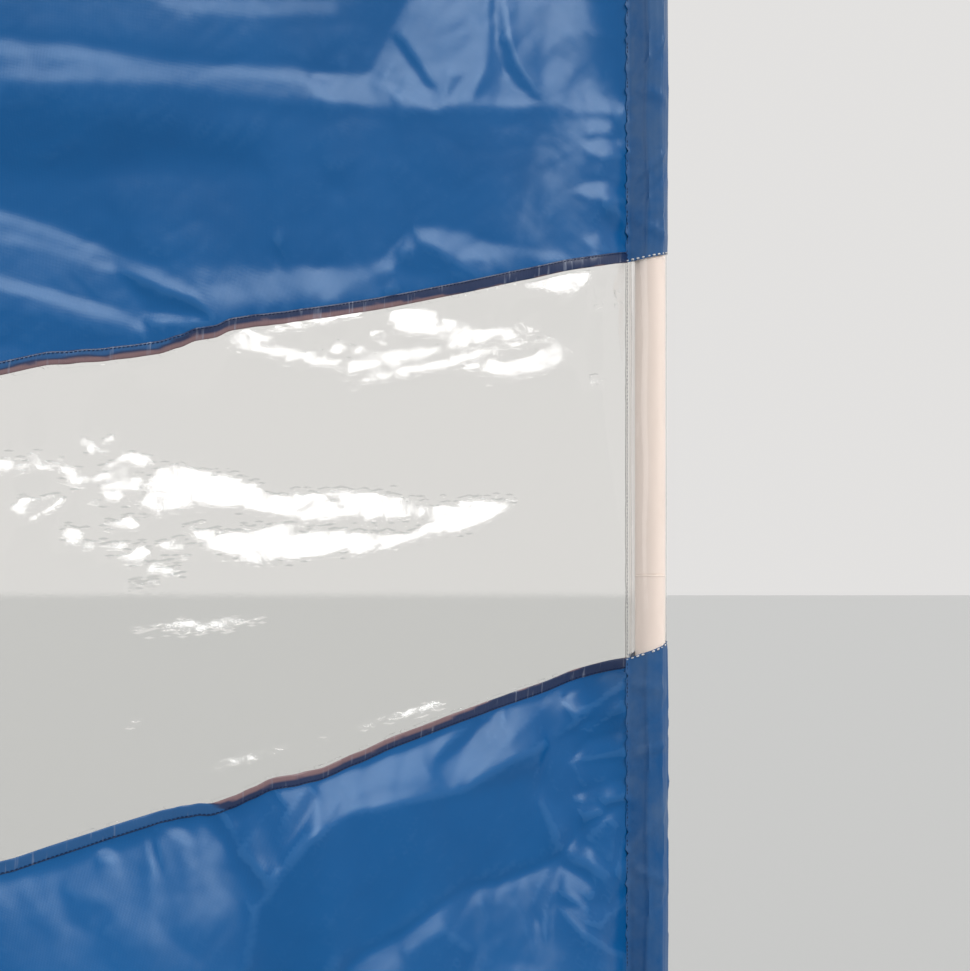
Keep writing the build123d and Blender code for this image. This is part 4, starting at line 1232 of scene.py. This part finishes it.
def sew(name, rows_of_points, pitch, colour, size):
    """Short raised stitches along lines of points, as one piece."""
    bpy.ops.object.select_all(action="DESELECT")
    bpy.ops.mesh.primitive_uv_sphere_add(segments=4, ring_count=3, radius=0.5, rotation=(0, math.pi / 2, 0))
    bpy.ops.object.transform_apply(location=False, rotation=True, scale=False)
    pattern = bpy.context.object
    shape = np.empty(len(pattern.data.vertices) * 3)
    pattern.data.vertices.foreach_get("co", shape)
    shape = shape.reshape(-1, 3) * np.array([size[0], size[2], size[1]])
    faces = [list(face.vertices) for face in pattern.data.polygons]
    bpy.ops.object.delete()
    points, polygons = [], []
    for line in rows_of_points:
        line = np.array(line)
        runs = np.concatenate([[0], np.cumsum(np.linalg.norm(np.diff(line, axis=0), axis=1))])
        for run in np.arange(pitch / 2, runs[-1], pitch):
            here = np.array([np.interp(run, runs, line[:, axis]) for axis in range(3)])
            ahead = np.array([np.interp(run + pitch / 4, runs, line[:, axis]) for axis in range(3)])
            heading = ahead - here
            if np.linalg.norm(heading) < 1e-7:
                continue
            heading /= np.linalg.norm(heading)
            sideways = np.cross(heading, (0.0, 1.0, 0.0))
            sideways /= max(np.linalg.norm(sideways), 1e-6)
            outward = np.cross(sideways, heading)
            start = len(points) * len(shape)
            points.append(here + shape @ np.array([heading, outward, sideways]))
            polygons += [[corner + start for corner in face] for face in faces]
    mesh = bpy.data.meshes.new(name)
    mesh.from_pydata(np.concatenate(points).tolist(), [], polygons)
    piece = bpy.data.objects.new(name, mesh)
    bpy.context.collection.objects.link(piece)
    pick(piece)
    bpy.ops.object.mode_set(mode="EDIT")
    bpy.ops.mesh.select_all(action="SELECT")
    bpy.ops.mesh.normals_make_consistent(inside=False)
    bpy.ops.object.mode_set(mode="OBJECT")
    bpy.ops.object.shade_smooth()
    material, tree, shader = new_finish(f"{name}_finish")
    place = add_node(tree, "ShaderNodeTexCoord")
    twist = add_node(tree, "ShaderNodeTexWave", {"Scale": 700.0, "Distortion": 1.0}, bands_direction="DIAGONAL")
    wire(place, "Object", twist, "Vector")
    emboss(twist, "Fac", shader, 0.4, 0.0002)
    ply = two_tone(tree, twist.outputs["Fac"], 0.0, 1.0, tuple(0.7 * part for part in colour[:3]) + (1.0,), colour)
    tree.links.new(ply, shader.inputs["Base Color"])
    set_values(shader, {"Roughness": 0.7, "Specular IOR Level": 0.2})
    piece.data.materials.append(material)
    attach(piece, "root")
    return piece


def seam_thread(pole, side, low, high, out):
    """The line of a seam's stitches on the front of a sleeve."""
    line = seam_line if pole in end_poles else (inner_ply_edge + inner_pinch_line) / 2
    x = pole_x[pole - 1] + side * line
    height = float(window_foot - hang_drop(np.array(x)))
    return [(x, -ply_gap - out, height + above) for above in np.linspace(low, high, 40)]


sides = {1: (-1,), 2: (-1, 1), 3: (-1, 1), 4: (1,)}
blue_seams, film_seams = [], []
for pole in pole_numbers:
    for side in sides[pole]:
        blue_seams.append(seam_thread(pole, side, table_low + 0.002, -0.001, cloth_thickness / 2 + 0.0002))
        blue_seams.append(
            seam_thread(pole, side, window_height + 0.001, table_high - 0.002, cloth_thickness / 2 + 0.0002)
        )
        film_seams.append(seam_thread(pole, side, 0.0, window_height, film_thickness / 2 + 0.0002))
sew("navy_seam_thread", blue_seams, stitch_pitch, navy_thread, stitch_size)
sew("grey_seam_thread", film_seams, stitch_pitch, grey_thread, stitch_size)

edge_lines = []
for pole in pole_numbers:
    path = np.array(wrap_path(pole))
    if pole in end_poles:
        path = path[: len(path) // 2 + 4]
    for above in (window_height + 0.0012, -0.0012):
        height = window_foot - hang_drop(pole_x[pole - 1] + path[:, 0]) + above
        if pole == 1 and above < 0:
            height = height + sleeve_rise(path[:, 0])
        swollen = path * (1 + 0.0008 / np.hypot(*path.T))[:, None]
        edge_lines.append(np.column_stack((pole_x[pole - 1] + swollen[:, 0], swollen[:, 1], height)))
sew("pale_edge_thread", edge_lines, edge_stitch_pitch, pale_thread, edge_stitch_size)

hem_lines = []
for bay in bay_numbers:
    right, left = bay_seams(bay)
    along = np.linspace(pole_x[bay - 1] - right, pole_x[bay - 1] - left, 400)
    for above in (
        -window_hem_width + window_stitch_inset,
        window_height + window_hem_width - window_stitch_inset,
        table_low + edge_hem_width - edge_stitch_inset,
        table_high - edge_hem_width + edge_stitch_inset,
    ):
        x, y, z, _ = on_sheet(bay, along, np.full_like(along, above), cloth_thickness / 2 + 0.0010)
        hem_lines.append(np.column_stack((x, y, z)))
sew("navy_hem_thread", hem_lines, stitch_pitch, hem_thread, stitch_size)

# The sheets lie on the sleeves beside them. The loop below only reads each sheet's bay from its node's name.
for node, (piece, height) in cloth_sheets.items():
    bay = int(node[-1])


# Floor and backdrop: pale and plain, and so wide that they meet at the height of the camera.
floor_pale = (0.460, 0.462, 0.455, 1.0)
backdrop_pale = (0.765, 0.755, 0.745, 1.0)
world_strength = 0.85

bpy.ops.object.select_all(action="DESELECT")
bpy.ops.mesh.primitive_plane_add(size=8000, location=(-2.25, 0, -0.0003))
floor = bpy.context.object
floor.name = "floor"
material, tree, shader = new_finish("pale_floor")
set_values(shader, {"Base Color": floor_pale, "Roughness": 0.9})
floor.data.materials.append(material)

scene = bpy.context.scene
world = bpy.data.worlds.new("pale_backdrop")
scene.world = world
world.use_nodes = True
backdrop = world.node_tree
lit = backdrop.nodes["Background"]
set_values(lit, {"Color": (1.0, 1.0, 1.0, 1.0), "Strength": world_strength})
seen = add_node(backdrop, "ShaderNodeBackground", {"Color": backdrop_pale, "Strength": 1.0})
rays = add_node(backdrop, "ShaderNodeLightPath")
straight = add_node(backdrop, "ShaderNodeMath", operation="MAXIMUM")
mirrored = add_node(backdrop, "ShaderNodeMath", operation="MAXIMUM")
either = add_node(backdrop, "ShaderNodeMixShader")
wire(rays, "Is Camera Ray", straight, 0)
wire(rays, "Is Glossy Ray", straight, 1)
wire(straight, "Value", mirrored, 0)
wire(rays, "Is Transmission Ray", mirrored, 1)
wire(mirrored, "Value", either, "Fac")
wire(lit, "Background", either, 1)
wire(seen, "Background", either, 2)
backdrop.links.new(either.outputs["Shader"], backdrop.nodes["World Output"].inputs["Surface"])


# Lights: a broad soft key in front, high and to the right, that flashes in the film's creases, a low
# soft fill from the left along the sheet, and a weak one from behind. The camera stands level to the
# left of the end pole and looks past it.
camera_place = (-0.8356, -1.2315, 0.6457)
camera_turn = -28.916
camera_lens = 66.74
camera_shift = 0.1128


def add_sun(name, azimuth, elevation, spread, strength):
    """A soft far lamp; its azimuth runs from the front towards the right, in degrees."""
    lamp = bpy.data.lights.new(name, "SUN")
    lamp.energy = strength
    lamp.angle = math.radians(spread)
    holder = bpy.data.objects.new(name, lamp)
    scene.collection.objects.link(holder)
    holder.rotation_euler = (math.radians(90 - elevation), 0, math.radians(azimuth))


add_sun("key_light", 36, 40, 30, 1.3)
add_sun("left_fill", -70, 12, 50, 0.6)
add_sun("back_fill", 205, 60, 40, 0.3)

camera = bpy.data.cameras.new("photo_camera")
camera.lens = camera_lens
camera.sensor_width = 36
camera.shift_y = camera_shift
camera.clip_start = 0.02
camera.clip_end = 9000
holder = bpy.data.objects.new("photo_camera", camera)
scene.collection.objects.link(holder)
holder.location = camera_place
holder.rotation_euler = (math.radians(90), 0, math.radians(camera_turn))
scene.camera = holder
scene.view_settings.view_transform = "Standard"
